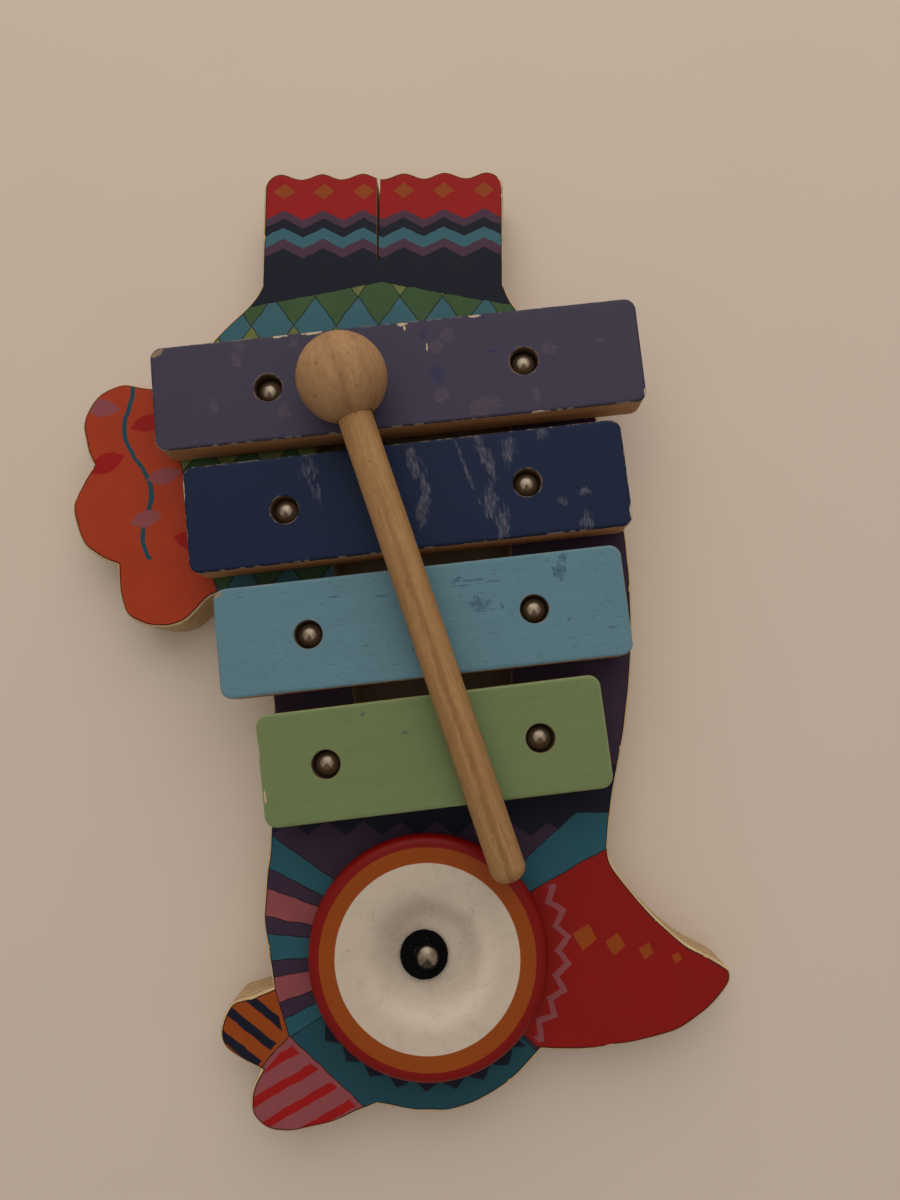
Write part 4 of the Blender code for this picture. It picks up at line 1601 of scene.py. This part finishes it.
@dataclass
class FeltRing:
    """A punched felt washer, with soft uneven edges and loose fibres."""

    name: str
    centre: Point
    bottom: float
    inner: float
    outer: float
    thickness: float
    seed: int
    fibres: int = 0
    sides: int = 96
    edge: float = 0.0005
    hair_radius: float = 0.00002

    def section(self) -> np.ndarray:
        """A loop: two flat faces, an outer edge rounded by quarter circles, and a square hole.

        Returns:
            Rows of radius and height.
        """
        edge = min(self.edge, self.thickness / 3)
        flat, high_edge = self.outer - edge, self.thickness - edge
        low = quarter((flat, 0.0), (flat, edge), 4)
        high = quarter((self.outer, high_edge), (flat, high_edge), 4)
        middle = np.linspace(self.inner, flat, 7)[1:-1]
        inner = [(self.inner, self.thickness), (self.inner, 0.0)]
        top = np.stack([middle[::-1], np.full(5, self.thickness)], axis=1)
        bottom = np.stack([middle, np.zeros(5)], axis=1)
        return np.concatenate([bottom, low, high, top, inner])

    def hairs(self) -> tuple[np.ndarray, np.ndarray]:
        """Loose fibres: thin three-sided tubes along arcs that start in the felt's edge.

        A point of a fibre is its start, plus the way along its heading, plus a droop that grows
        with the square of that way, plus a corner of the tube.

        Returns:
            The points and the faces.
        """
        chance = np.random.default_rng(self.seed)
        count, parts = self.fibres, 4
        turn = chance.uniform(0.0, math.tau, count)
        reach = self.outer - chance.uniform(0.0, 0.0012, count)
        rise = self.thickness * chance.uniform(0.35, 0.98, count)
        start = np.stack([reach * np.cos(turn), reach * np.sin(turn), rise], axis=1)
        heading = turn + chance.normal(0.0, 0.9, count)
        tilt = chance.uniform(-0.2, 0.5, count)
        flat = np.cos(tilt)
        away = np.stack([np.cos(heading) * flat, np.sin(heading) * flat, np.sin(tilt)], axis=1)
        bend = np.stack([-np.sin(heading), np.cos(heading), np.zeros(count)], axis=1)
        bend *= chance.normal(0.0, 0.5, count)[:, None]
        length = chance.uniform(0.0004, 0.0011, count)[:, None, None]
        way = np.linspace(0.0, 1.0, parts)[None, :, None]
        spine = start[:, None] + length * (away[:, None] * way + bend[:, None] * way ** 2)
        spin = (np.arange(3) / 3 * math.tau)[None, :, None]
        side = unit_rows(np.cross(away, (0.0, 0.0, 1.0)))
        up = np.cross(side, away)
        ring = side[:, None] * np.cos(spin) + up[:, None] * np.sin(spin)
        thick = self.hair_radius * (1.0 - 0.6 * way)
        vertices = (spine[:, :, None] + ring[:, None] * thick[..., None]).reshape(-1, 3)
        quads = grid_quads(parts, 3)
        faces = (quads[None] + (np.arange(count) * parts * 3)[:, None, None]).reshape(-1, 4)
        return vertices, faces

    def build(self, material: bpy.types.Material) -> bpy.types.Object:
        """Build the felt, its surface moved by small ripples.

        Args:
            material: Its finish.

        Returns:
            The felt.
        """
        vertices, faces = lathed(self.section(), self.sides, closed=True)
        share = np.clip((np.hypot(vertices[:, 0], vertices[:, 1]) - self.inner) / 0.001, 0.0, 1.0)
        pull = 1.0 + share * (ripple(vertices, size=0.006, pitch=0.0014, seed=self.seed) - 0.004)
        vertices[:, :2] *= pull[:, None]
        press = ripple(vertices, size=0.03, pitch=0.0012, seed=self.seed + 1) - 0.03
        vertices[:, 2] *= 1.0 + share * press
        if self.fibres:
            hairs, quads = self.hairs()
            faces = faces + (quads + len(vertices)).tolist()
            vertices = np.concatenate([vertices, hairs])
        vertices = vertices + (*self.centre, self.bottom)
        return make_piece(f"{self.name}_dressed", vertices, faces, [material])


@dataclass
class Bar:
    """A wooden bar: a swept slab with two stepped nail holes. Its origin is under its middle."""

    name: str
    centre: Point
    turn: float
    length: float
    nail_reach: float
    paint: BarPaint
    seed: int
    bottom: float = 0.0216
    width: float = 0.032
    thickness: float = 0.012
    corner_radius: float = 0.0035
    rim: float = 0.0010
    hole_radius: float = 0.0021
    bore_radius: float = 0.0041
    bore_depth: float = 0.005
    bore_lip: float = 0.0003
    overrun: float = 0.002
    lip_rise: float = 0.00005
    corner_steps: int = 12
    hole_sides: int = 64
    worn_share: float = 0.22
    worn_pitch: float = 0.011

    def place(self) -> Matrix:
        """Where the bar's origin is and how it is turned."""
        turn = Matrix.Rotation(math.radians(self.turn), 4, "Z")
        return Matrix.Translation((*self.centre, self.bottom)) @ turn

    def outline(self) -> np.ndarray:
        """A rectangle with round corners, with points about a millimetre apart on its sides.

        Returns:
            Its corners, counter-clockwise.
        """
        x, y = self.length / 2 - self.corner_radius, self.width / 2 - self.corner_radius
        parts = []
        for quarter_turn, centre in enumerate(((x, -y), (x, y), (-x, y), (-x, -y))):
            angle = (quarter_turn - 1) * math.pi / 2
            outward = np.array([math.cos(angle), math.sin(angle)])
            start = tuple(centre + outward * self.corner_radius)
            arc = quarter(start, centre, self.corner_steps)
            span = 2 * (x if quarter_turn % 2 else y)
            count = int(span / MM)
            way = np.arange(1, count)[:, None] / count
            parts += [arc, arc[-1:] - outward * span * way]
        return np.concatenate(parts)

    def hole_cutter(self, side: int) -> bpy.types.Object:
        """Cutter for a stepped hole whose mouth flares a little where the paint has worn.

        Args:
            side: 1 for the right end's hole and -1 for the left end's.

        Returns:
            The cutter.
        """
        top, ledge, lip = self.thickness, self.thickness - self.bore_depth, self.bore_lip
        section = np.array([
            (0.0, -self.overrun), (self.hole_radius, -self.overrun), (self.hole_radius, ledge),
            (self.bore_radius, ledge), (self.bore_radius, top - lip),
            (self.bore_radius + lip, top + self.lip_rise),
            (self.bore_radius + lip, top + self.overrun), (0.0, top + self.overrun),
        ])
        vertices, faces = lathed(section, self.hole_sides)
        vertices = set_place(vertices + (side * self.nail_reach, 0.0, 0.0), self.place())
        return make_piece(f"{self.name}_cutter_{side}", vertices, faces, [])

    def finish(self) -> bpy.types.Material:
        """The bar's paint over its bare wood, on its own axes.

        Returns:
            The finish.
        """
        recipe = new_recipe(f"{self.name}_finish")
        turn = (0.0, 0.0, math.radians(self.turn))
        vector = recipe.local((*self.centre, self.bottom), turn)
        return recipe.finish(self.paint.look(recipe, vector, self), Specular_IOR_Level=0.13)

    def build(self) -> bpy.types.Object:
        """Build the bar, its rims worn unevenly.

        Returns:
            The bar.
        """
        outline = self.outline()
        worn = 1.0 + ripple(outline, self.worn_share, self.worn_pitch, self.seed)
        vertices, faces = swept(outline, rounded_wall(self.thickness, self.rim), worn)
        vertices = set_place(vertices, self.place())
        bar = make_piece(f"{self.name}_dressed", vertices, faces, [self.finish()])
        carve(bar, [self.hole_cutter(-1), self.hole_cutter(1)])
        return bar


@dataclass
class Cymbal:
    """A dished disc of painted sheet metal with a rolled rim."""

    centre: Place = (0.0121756, -0.09535, 0.0216)
    radius: float = 0.03425
    sheet: float = 0.0010
    depth: float = 0.0055
    hole_radius: float = 0.0021
    sides: int = 192
    shares: tuple = (
        (0.0613, 0.00), (0.20, 0.00), (0.265, 0.02), (0.32, 0.10), (0.38, 0.31), (0.44, 0.57),
        (0.50, 0.75), (0.58, 0.87), (0.68, 0.935), (0.78, 0.97), (0.90, 1.00), (0.95, 0.96),
        (0.985, 0.78), (1.00, 0.46),
    )
    dents: tuple = (
        (0.006, 0.016, 0.0035, 0.00016), (-0.017, 0.010, 0.0045, 0.00014),
        (0.019, -0.009, 0.004, 0.00012), (-0.008, -0.018, 0.003, 0.00014),
    )
    warp: float = 0.00010
    warp_turn: float = 0.6
    knot_steps: int = 6
    lip_steps: int = 8
    paint: CymbalPaint = field(default_factory=CymbalPaint)

    def section(self) -> tuple[np.ndarray, int]:
        """The upper side as a smooth path through the shares, a round lip, and the lower side.

        The lower side is the upper one moved by the sheet's thickness along its own normal.

        Returns:
            Rows of radius and height, and how many of them the upper side and the lip have.
        """
        knots = np.array(self.shares) * (self.radius, self.depth) + (0.0, self.sheet)
        upper = np.concatenate([smooth_path(knots, self.knot_steps), knots[-1:]])
        along = unit_rows(np.gradient(upper, axis=0))
        lower = upper + np.stack([along[:, 1], -along[:, 0]], axis=1) * self.sheet
        lower[0] = (upper[0, 0], 0.0)
        middle = (upper[-1] + lower[-1]) / 2
        angle = np.linspace(0.0, math.pi, self.lip_steps + 1)[1:-1, None]
        bulge = along[-1] * np.sin(angle) * self.sheet / 2
        lip = middle + (upper[-1] - middle) * np.cos(angle) + bulge
        return np.concatenate([upper, lip, lower[::-1]]), len(upper) + len(lip)

    def drop(self, vertices: np.ndarray) -> np.ndarray:
        """Shallow dents and a slight warp: bell curves and a cosine of twice the angle.

        Args:
            vertices: The cymbal's points, about its own origin.

        Returns:
            Each point's change of height.
        """
        x, y = vertices[:, 0], vertices[:, 1]
        dip = np.zeros(len(vertices))
        for dent_x, dent_y, size, depth in self.dents:
            dip += depth * np.exp(-((x - dent_x) ** 2 + (y - dent_y) ** 2) / size ** 2)
        wave = np.cos(2 * np.arctan2(y, x) + self.warp_turn) - 1.0
        return (np.hypot(x, y) / self.radius) ** 2 * self.warp * wave - dip

    def build(self) -> bpy.types.Object:
        """Build the cymbal, with enamel on its upper side and lip and bare metal below.

        Returns:
            The cymbal.
        """
        section, painted = self.section()
        vertices, faces = lathed(section, self.sides, closed=True)
        vertices[:, 2] += self.drop(vertices)
        centre = Vector(self.centre)
        materials = [
            self.paint.enamel("cymbal_enamel", centre, self.radius),
            self.paint.underside("cymbal_underside", centre),
        ]
        cymbal = make_piece("cymbal_dressed", vertices + self.centre, faces, materials)
        below = np.arange(len(cymbal.data.polygons)) // self.sides >= painted
        cymbal.data.polygons.foreach_set("material_index", below.astype(np.int32))
        return cymbal


@dataclass
class Mallet:
    """A turned ball on a dowel. Its axis runs from the ball's middle to the handle's end."""

    centre: Place = (-0.011888, 0.067314, 0.0468)
    heading: Place = (0.32246, -0.94451, -0.06269)
    length: float = 0.1605
    ball_radius: float = 0.0129
    bore_depth: float = 0.014
    dowel_radius: float = 0.005
    clearance: float = 0.0003
    end_round: float = 0.004
    specks: Colour = (0.085, 0.045, 0.020)
    ball_uneven: float = 0.002
    handle_uneven: float = 0.005
    ball_steps: int = 71
    ball_sides: int = 112
    handle_steps: int = 59
    end_steps: int = 15
    handle_sides: int = 64

    def place(self) -> Matrix:
        """The mallet's origin in the ball's middle, with Z along its heading."""
        turn = Vector(self.heading).to_track_quat("Z", "Y").to_matrix().to_4x4()
        return Matrix.Translation(self.centre) @ turn

    def timber(
        self, name: str, timber: Timber, shift: Point, streak: float, streak_start: float
    ) -> bpy.types.Material:
        """Wood whose grain runs along the mallet, shifted so that each piece has its own.

        Args:
            name: The finish's name.
            timber: The wood.
            shift: Shift of the wood's pattern, in millimetres.
            streak: How strong the brown streak is that runs along the upper side.
            streak_start: Where the streak starts, in millimetres from the ball's middle.

        Returns:
            The finish.
        """
        recipe = new_recipe(name)
        grain = self.place() @ Matrix.Rotation(-math.pi / 2, 4, "Y")
        vector = recipe.local(self.centre, tuple(grain.to_euler()))
        shifted = recipe.fitted(vector, (*shift, 0.0), ZERO, ONE)
        look = timber.look(recipe, shifted)
        x, _, z = recipe.axes(vector)
        drift = recipe.noise(vector, (0.03, 0.2, 0.2), 2.0)
        figure = recipe.noise(vector, (0.22, 1.3, 1.3), 4.0)
        band = 1.0 - abs(z + (drift - 0.5) * 3.0 + (figure - 0.5) * 1.6).above(0.7, 0.6)
        band = band * (x + drift * 40.0).above(streak_start, 24.0)
        look.colour = recipe.mix(band * streak, look.colour, timber.dark)
        mottle = recipe.noise(vector, (0.40, 1.0, 1.0), 3.0)
        look.colour = recipe.dim(look.colour, 0.84 + mottle * 0.42 - x * 0.0009)
        speck = recipe.speck(vector, 0.22, 0.060)
        look.colour = recipe.mix(speck * 0.7, look.colour, self.specks)
        return recipe.finish(look, Specular_IOR_Level=0.2)

    def ball(self) -> bpy.types.Object:
        """The ball, from its far pole round to its bore, and the bore.

        A point of its face is at the radius times the sine and the cosine of an angle.

        Returns:
            The ball.
        """
        bore = self.dowel_radius + self.clearance
        mouth = math.asin(bore / self.ball_radius)
        angle = np.linspace(math.pi, mouth, self.ball_steps + 1)
        face = self.ball_radius * np.stack([np.sin(angle), np.cos(angle)], axis=1)
        face[0, 0] = 0.0
        floor = self.ball_radius - self.bore_depth
        inside = [(bore, face[-1, 1] - 0.0004), (bore, floor), (0.0, floor)]
        section = np.concatenate([face, inside])
        vertices, faces = lathed(section, self.ball_sides)
        outside = np.linalg.norm(vertices, axis=1) > self.ball_radius * 0.97
        uneven = self.ball_uneven + ripple(vertices, self.ball_uneven, pitch=0.012, seed=5)
        vertices *= (1.0 - outside * uneven)[:, None]
        finish = self.timber(
            "mallet_ball_finish", BALL_TIMBER, shift=(40.0, 3.0), streak=0.45, streak_start=10.0
        )
        vertices = set_place(vertices, self.place())
        return make_piece("mallet_head_dressed", vertices, faces, [finish])

    def handle(self) -> bpy.types.Object:
        """The dowel, from the bore's floor to its rounded end, its radius slightly uneven.

        The end's radius is the dowel's times a power of the cosine, and its rise goes with the
        sine.

        Returns:
            The handle.
        """
        start = self.ball_radius - self.bore_depth + self.clearance
        end = self.length - self.ball_radius
        heights = np.linspace(start, end - self.end_round, self.handle_steps + 1)
        shaft = np.stack([np.full(len(heights), self.dowel_radius), heights], axis=1)
        angle = np.linspace(0.0, math.pi / 2, self.end_steps + 1)[1:]
        tip = np.stack([
            self.dowel_radius * np.cos(angle) ** 0.8, end - self.end_round * (1 - np.sin(angle)),
        ], axis=1)
        tip[-1, 0] = 0.0
        section = np.concatenate([[(0.0, start)], shaft, tip])
        vertices, faces = lathed(section, self.handle_sides)
        drawn_out = vertices * (1.0, 1.0, 0.3)
        uneven = ripple(drawn_out, self.handle_uneven, pitch=0.009, seed=8) - self.handle_uneven
        vertices[:, :2] *= (1.0 + uneven)[:, None]
        finish = self.timber(
            "mallet_handle_finish", HANDLE_TIMBER, shift=(0.0, 0.0), streak=0.75, streak_start=58.0
        )
        vertices = set_place(vertices, self.place())
        return make_piece("mallet_handle_dressed", vertices, faces, [finish])


# The whole toy


@dataclass
class Xylophone:
    """All the pieces, in the order that they are put together."""

    board: Board = field(default_factory=Board)
    cymbal: Cymbal = field(default_factory=Cymbal)
    mallet: Mallet = field(default_factory=Mallet)
    bar_nail_head: float = 0.02915
    cymbal_nail_head: float = 0.0247
    board_top: float = 0.0183
    felt_bottom: float = 0.0229
    # Colour of the painted shade in the board's pocket
    pocket_painted_shade: Colour = (0.125, 0.090, 0.060)
    washer: tuple = (0.0018, 0.0044, 0.003)
    bottom_felt: tuple = (0.0018, 0.0059, 0.003)
    top_felt: tuple = (0.0029, 0.0069, 0.0015)

    def bars(self) -> list[Bar]:
        """The four bars.

        Returns:
            The bars, from the tail to the head.
        """
        return [
            Bar("bar_violet", (0.002196, 0.0731), 5.85, 0.146, 0.038179, VIOLET_PAINT, 21),
            Bar("bar_navy", (0.005389, 0.0363), 6.35, 0.130, 0.035685, NAVY_PAINT, 22),
            Bar("bar_sky", (0.01018, -0.0005), 6.5, 0.119, 0.032725, SKY_PAINT, 23),
            Bar("bar_green", (0.013772, -0.0373), 7.1, 0.099, 0.030591, GREEN_PAINT, 24),
        ]

    def nails(self, bars: list[Bar]) -> list[Nail]:
        """A nail at each end of each bar, and the cymbal's.

        Args:
            bars: The bars, which say where the nails stand.

        Returns:
            The nails, with the cymbal's last.
        """
        leans = {
            "violet_left": (0.018, 0.008), "navy_left": (0.0, 0.008),
            "green_right": (0.008, -0.008),
        }
        nails = []
        for bar in bars:
            for side, word in ((-1, "left"), (1, "right")):
                spot = bar.place() @ Vector((side * bar.nail_reach, 0.0, 0.0))
                name = f"{bar.name.removeprefix('bar_')}_{word}"
                lean = leans.get(name, (0.0, 0.0))
                nails.append(Nail(f"nail_{name}", tuple(spot.xy), self.bar_nail_head, lean))
        centre = self.cymbal.centre[:2]
        nails.append(Nail("cymbal_nail", centre, self.cymbal_nail_head, (0.02, -0.01)))
        return nails

    def felts(self, nails: list[Nail]) -> list[FeltRing]:
        """A washer under each bar's end, and the cymbal's two felts.

        Args:
            nails: The nails, with the cymbal's last.

        Returns:
            The felts.
        """
        felts = []
        for seed, nail in enumerate(nails[:-1], 31):
            name = nail.name.replace("nail", "washer")
            felts.append(FeltRing(name, nail.centre, self.board_top, *self.washer, seed))
        x, y, _ = self.cymbal.centre
        aside = (x - 0.0011, y)
        return felts + [
            FeltRing("cymbal_bottom_felt", (x, y), self.board_top, *self.bottom_felt, 41),
            FeltRing("cymbal_top_felt", aside, self.felt_bottom, *self.top_felt, 42, fibres=420),
        ]

    def board_finish(self) -> bpy.types.Material:
        """Print on the board's top, bare plywood on its sides and back, and plywood with painted
        shade in its pocket.

        Returns:
            The finish.
        """
        recipe = new_recipe("board_finish")
        vector = recipe.local()
        _, _, z = recipe.axes(vector)
        flat = recipe.stretched(vector, FLATTENED)
        top = self.board.thickness / MM
        crumb = recipe.noise(vector, 1.3, 3.0)
        nibble = recipe.noise(vector, 0.20, 2.0).above(0.66, 0.03)
        level = z + crumb * 0.06 - nibble * 0.10
        art = Print(recipe, vector, tuple(part / MM for part in self.cymbal.centre[:2]))
        look = BOARD_PLY.look(recipe, vector)
        corners = [(x / MM, y / MM) for x, y in self.board.pocket_corners]
        sides = zip(corners, corners[1:] + corners[:1])
        pocket = reduce(Signal.at_most, [art.side(flat, *side) for side in sides])
        # Painted shade: the pocket's floor and walls are darkened
        look.colour = recipe.mix(pocket.above(0.12, 0.08) * 0.72, look.colour, self.pocket_painted_shade)
        inked = art.look()
        flat_top = (z + crumb * 0.03).above(top - 0.02, 0.015)
        inked.colour = recipe.mix((1.0 - flat_top) * 0.85, inked.colour, art.line)
        printed = level.above(top - 0.15, 0.03) * (1.0 - (pocket + crumb * 0.5).above(-0.10, 0.08))
        return recipe.finish(recipe.cover(printed, look, inked), Specular_IOR_Level=0.12)

    def dress(self, piece: bpy.types.Object, body: str, node: str) -> None:
        """Let a piece ride on a body in place of a solid, and report it.

        Args:
            piece: The piece.
            body: The body that it rides on.
            node: The solid that it stands for.
        """
        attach(piece, body)
        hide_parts(node)
        faces = len(piece.data.polygons)
        log.info("%s rides on %s and stands for %s: %d faces", piece.name, body, node, faces)

    def build(self) -> None:
        """Build and dress every piece."""
        bars = self.bars()
        nails = self.nails(bars)
        board = self.board.build(nails, self.board_finish())
        self.dress(board, "board", "body_board")
        for bar in bars:
            colour = bar.name.removeprefix("bar_")
            self.dress(bar.build(), f"{colour}_bar", bar.name)
        for nail in nails:
            steel = STEELS.get(nail.name, Steel()).material(f"{nail.name}_finish", nail.centre)
            self.dress(nail.build(steel), "board", nail.name)
        felt = Felt().material("felt_finish")
        for ring in self.felts(nails):
            self.dress(ring.build(felt), "board", ring.name)
        self.dress(self.cymbal.build(), "cymbal_dish", "cymbal")
        self.dress(self.mallet.ball(), "mallet", "mallet_head")
        self.dress(self.mallet.handle(), "mallet", "mallet_handle")


# The violet bar's bores have a darker painted shade
VIOLET_PAINT = BarPaint(
    colour=(0.0475, 0.039, 0.067), pore_share=0.08, edge_wear=0.55, mouth_wear=1.3,
    bore=(0.050, 0.030, 0.017), marks=(
        *wears(
            Mark.SCUFF,
            (-45.8, 14.0, 2.2, 2.6), (-47.0, 9.6, 1.8, 3.0), (-54.7, -4.2, 1.5, 3.0, 0.0, 0.8),
            (-34.0, -7.6, 2.3, 3.0, 0.0, 0.9), (-29.6, 13.0, 2.0, 2.0, 0.0, 0.7),
            (12.7, 7.1, 3.0, 2.4), (16.2, 10.4, 2.6, 3.0), (12.9, -7.8, 3.2, 2.6),
            (25.0, -12.6, 6.0, 3.6, 20.0), (45.9, 3.1, 3.2, 2.6, 0.0, 0.7),
            (61.5, 3.9, 2.8, 0.9, 0.0, 0.7), (40.6, -10.8, 1.9, 3.4, 0.0, 0.7),
        ),
        *wears(
            Mark.CHIP,
            (-33.6, 15.6, 3.2, 0.9), (-23.7, 15.5, 4.0, 0.8), (3.4, 15.2, 2.2, 0.8),
            (3.9, 14.0, 0.5, 1.6), (10.0, 7.3, 0.4, 1.9), (25.2, 15.4, 2.9, 0.7),
            (40.9, -15.8, 3.0, 0.6), (72.7, -13.4, 0.8, 2.0),
        ),
        *wears(
            Mark.SMUDGE,
            (9.2, 11.2, 1.4, 2.2), (27.6, 15.0, 1.3, 1.9), (28.8, 4.1, 2.7, 0.8),
            (12.1, -1.3, 2.6, 3.8),
        ),
        *wears(Mark.RUB, (-70.6, 14.2, 2.8, 1.3, 30.0)),
    ),
)
NAVY_PAINT = BarPaint(
    colour=(0.0058, 0.0136, 0.042), pore_share=0.10, edge_wear=0.45, mouth_wear=0.5, marks=(
        *wears(
            Mark.CHALK,
            (3.4, 9.4, 2.2, 7.0, 6.0), (6.0, 1.6, 1.6, 9.0, 4.0, 0.9),
            (4.2, -5.4, 2.2, 6.4, -8.0, 0.9), (23.6, 11.0, 1.7, 9.0, 14.0),
            (25.8, 6.0, 1.8, 6.0, 8.0, 0.8), (24.6, -4.6, 2.8, 7.0, -4.0, 0.9),
            (27.4, -11.6, 2.4, 6.6, -6.0), (18.6, 5.4, 0.7, 14.0, 15.0, 0.68),
            (31.2, 10.0, 2.6, 5.6, -8.0, 0.9), (41.7, 13.9, 2.4, 2.4, 0.0, 0.9),
            (52.1, -4.5, 2.6, 1.5, 0.0, 0.75), (45.1, -6.6, 2.0, 2.0, 0.0, 0.7),
            (51.8, -13.6, 2.4, 3.6, 0.0, 0.9), (-27.6, 11.5, 3.0, 6.2, 4.0, 0.60),
            (-26.1, 3.6, 1.9, 5.0, 6.0, 0.58),
        ),
        *wears(Mark.CHIP, (64.6, -12.0, 0.6, 3.4), (-64.8, 9.2, 0.5, 4.6)),
    ),
)
# The sky bar's rim is lightened: a painted highlight
SKY_PAINT = BarPaint(
    colour=(0.100, 0.194, 0.230), pore_share=0.36, edge_wear=0.26, painted_rim_light=0.10, marks=(
        *wears(
            Mark.SMUDGE,
            (11.6, 10.8, 1.9, 1.1, 25.0), (41.2, 10.2, 2.6, 3.4, -18.0),
            (42.8, 13.6, 1.7, 2.2, -10.0, 0.8), (16.4, 10.3, 4.4, 0.45), (21.8, 9.3, 3.2, 0.4),
            (12.6, 9.0, 3.4, 0.4), (17.4, 3.0, 4.6, 3.4, -20.0, 0.66), (42.2, -4.0, 0.8, 0.8),
            (23.6, 1.9, 0.7, 1.6, 0.0, 0.8), (54.1, -7.7, 2.4, 0.4), (-24.6, 10.0, 2.0, 0.4),
            (-10.7, 8.7, 2.6, 0.4), (-3.0, -8.0, 0.7, 0.7),
        ),
        *wears(Mark.RUB, (-57.8, 14.4, 1.7, 1.1, 30.0)),
    ),
)
# The green bar's rim is lightened: a painted highlight
GREEN_PAINT = BarPaint(
    colour=(0.141, 0.184, 0.074), pore_share=0.24, edge_wear=0.24, painted_rim_light=0.28, marks=(
        *wears(
            Mark.SMUDGE,
            (-18.5, 12.8, 1.2, 0.8, 0.0, 0.7), (-7.2, 6.3, 1.8, 0.6, 10.0, 0.6),
        ),
        *wears(Mark.CHIP, (-49.3, 5.9, 0.4, 4.0), (-48.6, -7.0, 0.5, 3.0)),
    ),
)


@dataclass
class Studio:
    """Floor, lights and camera. The camera's place and turn were solved from the photograph."""

    camera_place: Place = (0.0247, -0.0228, 0.2910)
    camera_turn: Point = (6.33, 1.38)
    lens: float = 27.0
    sensor: float = 36.0
    floor_colour: Colour = (0.593, 0.487, 0.396)
    floor_reach: float = 14.0
    backdrop: Colour = (0.66, 0.57, 0.47)
    backdrop_low: float = 0.50
    horizon_level: float = 0.26
    zenith_level: float = 0.88
    sky_colour: Colour = (1.0, 0.985, 0.96)
    lamp_place: Place = (0.02, 1.12, 0.98)
    lamp_size: float = 2.10
    lamp_power: float = 15.0
    lamp_colour: Colour = (1.0, 0.97, 0.93)

    def camera(self) -> None:
        """A camera that looks down its own Z axis, turned about X and then about its own Y."""
        data = bpy.data.cameras.new("camera")
        data.lens, data.sensor_width = self.lens, self.sensor
        data.clip_start = 0.01
        camera = bpy.data.objects.new("camera", data)
        across, tilt = (math.radians(angle) for angle in self.camera_turn)
        turn = Matrix.Rotation(across, 4, "X") @ Matrix.Rotation(tilt, 4, "Y")
        camera.matrix_world = Matrix.Translation(self.camera_place) @ turn
        bpy.context.collection.objects.link(camera)
        bpy.context.scene.camera = camera

    def floor(self) -> None:
        """A large pale floor with a faint mottle."""
        reach = self.floor_reach
        corners = [(-reach, -reach), (reach, -reach), (reach, reach), (-reach, reach)]
        mesh = bpy.data.meshes.new("floor")
        mesh.from_pydata([(x, y, 0.0) for x, y in corners], [], [(0, 1, 2, 3)])
        recipe = new_recipe("floor_finish")
        cloud = recipe.noise(recipe.local(), 0.02, 3.0)
        look = Look(recipe.dim(self.floor_colour, 0.985 + cloud * 0.03), 0.6, cloud * 0.01)
        mesh.materials.append(recipe.finish(look, Specular_IOR_Level=0.1))
        floor = bpy.data.objects.new("floor", mesh)
        bpy.context.collection.objects.link(floor)
        floor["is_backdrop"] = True

    def lights(self) -> None:
        """A soft sky, and one large soft lamp from beyond the tail.

        The sky grows from the horizon's level to the zenith's with the cube of the height of the
        direction. What is seen or mirrored is a plain pale backdrop, whose level grows with the
        square root of that height.
        """
        sky = Recipe(bpy.data.worlds.new("sky"), "Generated")
        _, _, height = sky.axes(sky.place)
        height = height.at_least(0.0)
        level = self.horizon_level + height ** 3.0 * (self.zenith_level - self.horizon_level)
        backdrop = self.backdrop_low + height ** 0.5 * (1.0 - self.backdrop_low)
        path = sky.node("ShaderNodeLightPath").outputs
        seen = Signal(sky, path["Is Camera Ray"])
        for kind in ("Is Glossy Ray", "Is Transmission Ray"):
            seen = seen.at_least(path[kind])
        shade = sky.tree.nodes["Background"]
        sky.feed(shade.inputs["Color"], sky.mix(seen, self.sky_colour, self.backdrop))
        sky.feed(shade.inputs["Strength"], level * (1.0 - seen) + backdrop * seen)
        bpy.context.scene.world = sky.owner
        data = bpy.data.lights.new("lamp", "AREA")
        data.shape, data.size, data.energy = "DISK", self.lamp_size, self.lamp_power
        data.color = self.lamp_colour
        lamp = bpy.data.objects.new("lamp", data)
        lamp.location = self.lamp_place
        lamp.rotation_euler = (-Vector(self.lamp_place)).to_track_quat("-Z", "Y").to_euler()
        bpy.context.collection.objects.link(lamp)

    def build(self) -> None:
        """Set the stage and the plain view transform."""
        self.floor()
        self.lights()
        self.camera()
        bpy.context.scene.view_settings.view_transform = "Standard"


def write_sizes() -> None:
    """The solids' box and the dressed model's box, as plain lists."""
    boxes = {"cad": CAD_BOX, "visual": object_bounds()}
    {name: [list(corner) for corner in box] for name, box in boxes.items()}


def main() -> None:
    """Build the studio and the toy."""
    logging.basicConfig(level=logging.INFO, format="%(message)s")
    Studio().build()
    Xylophone().build()
    write_sizes()


if __name__ == "__main__":
    main()
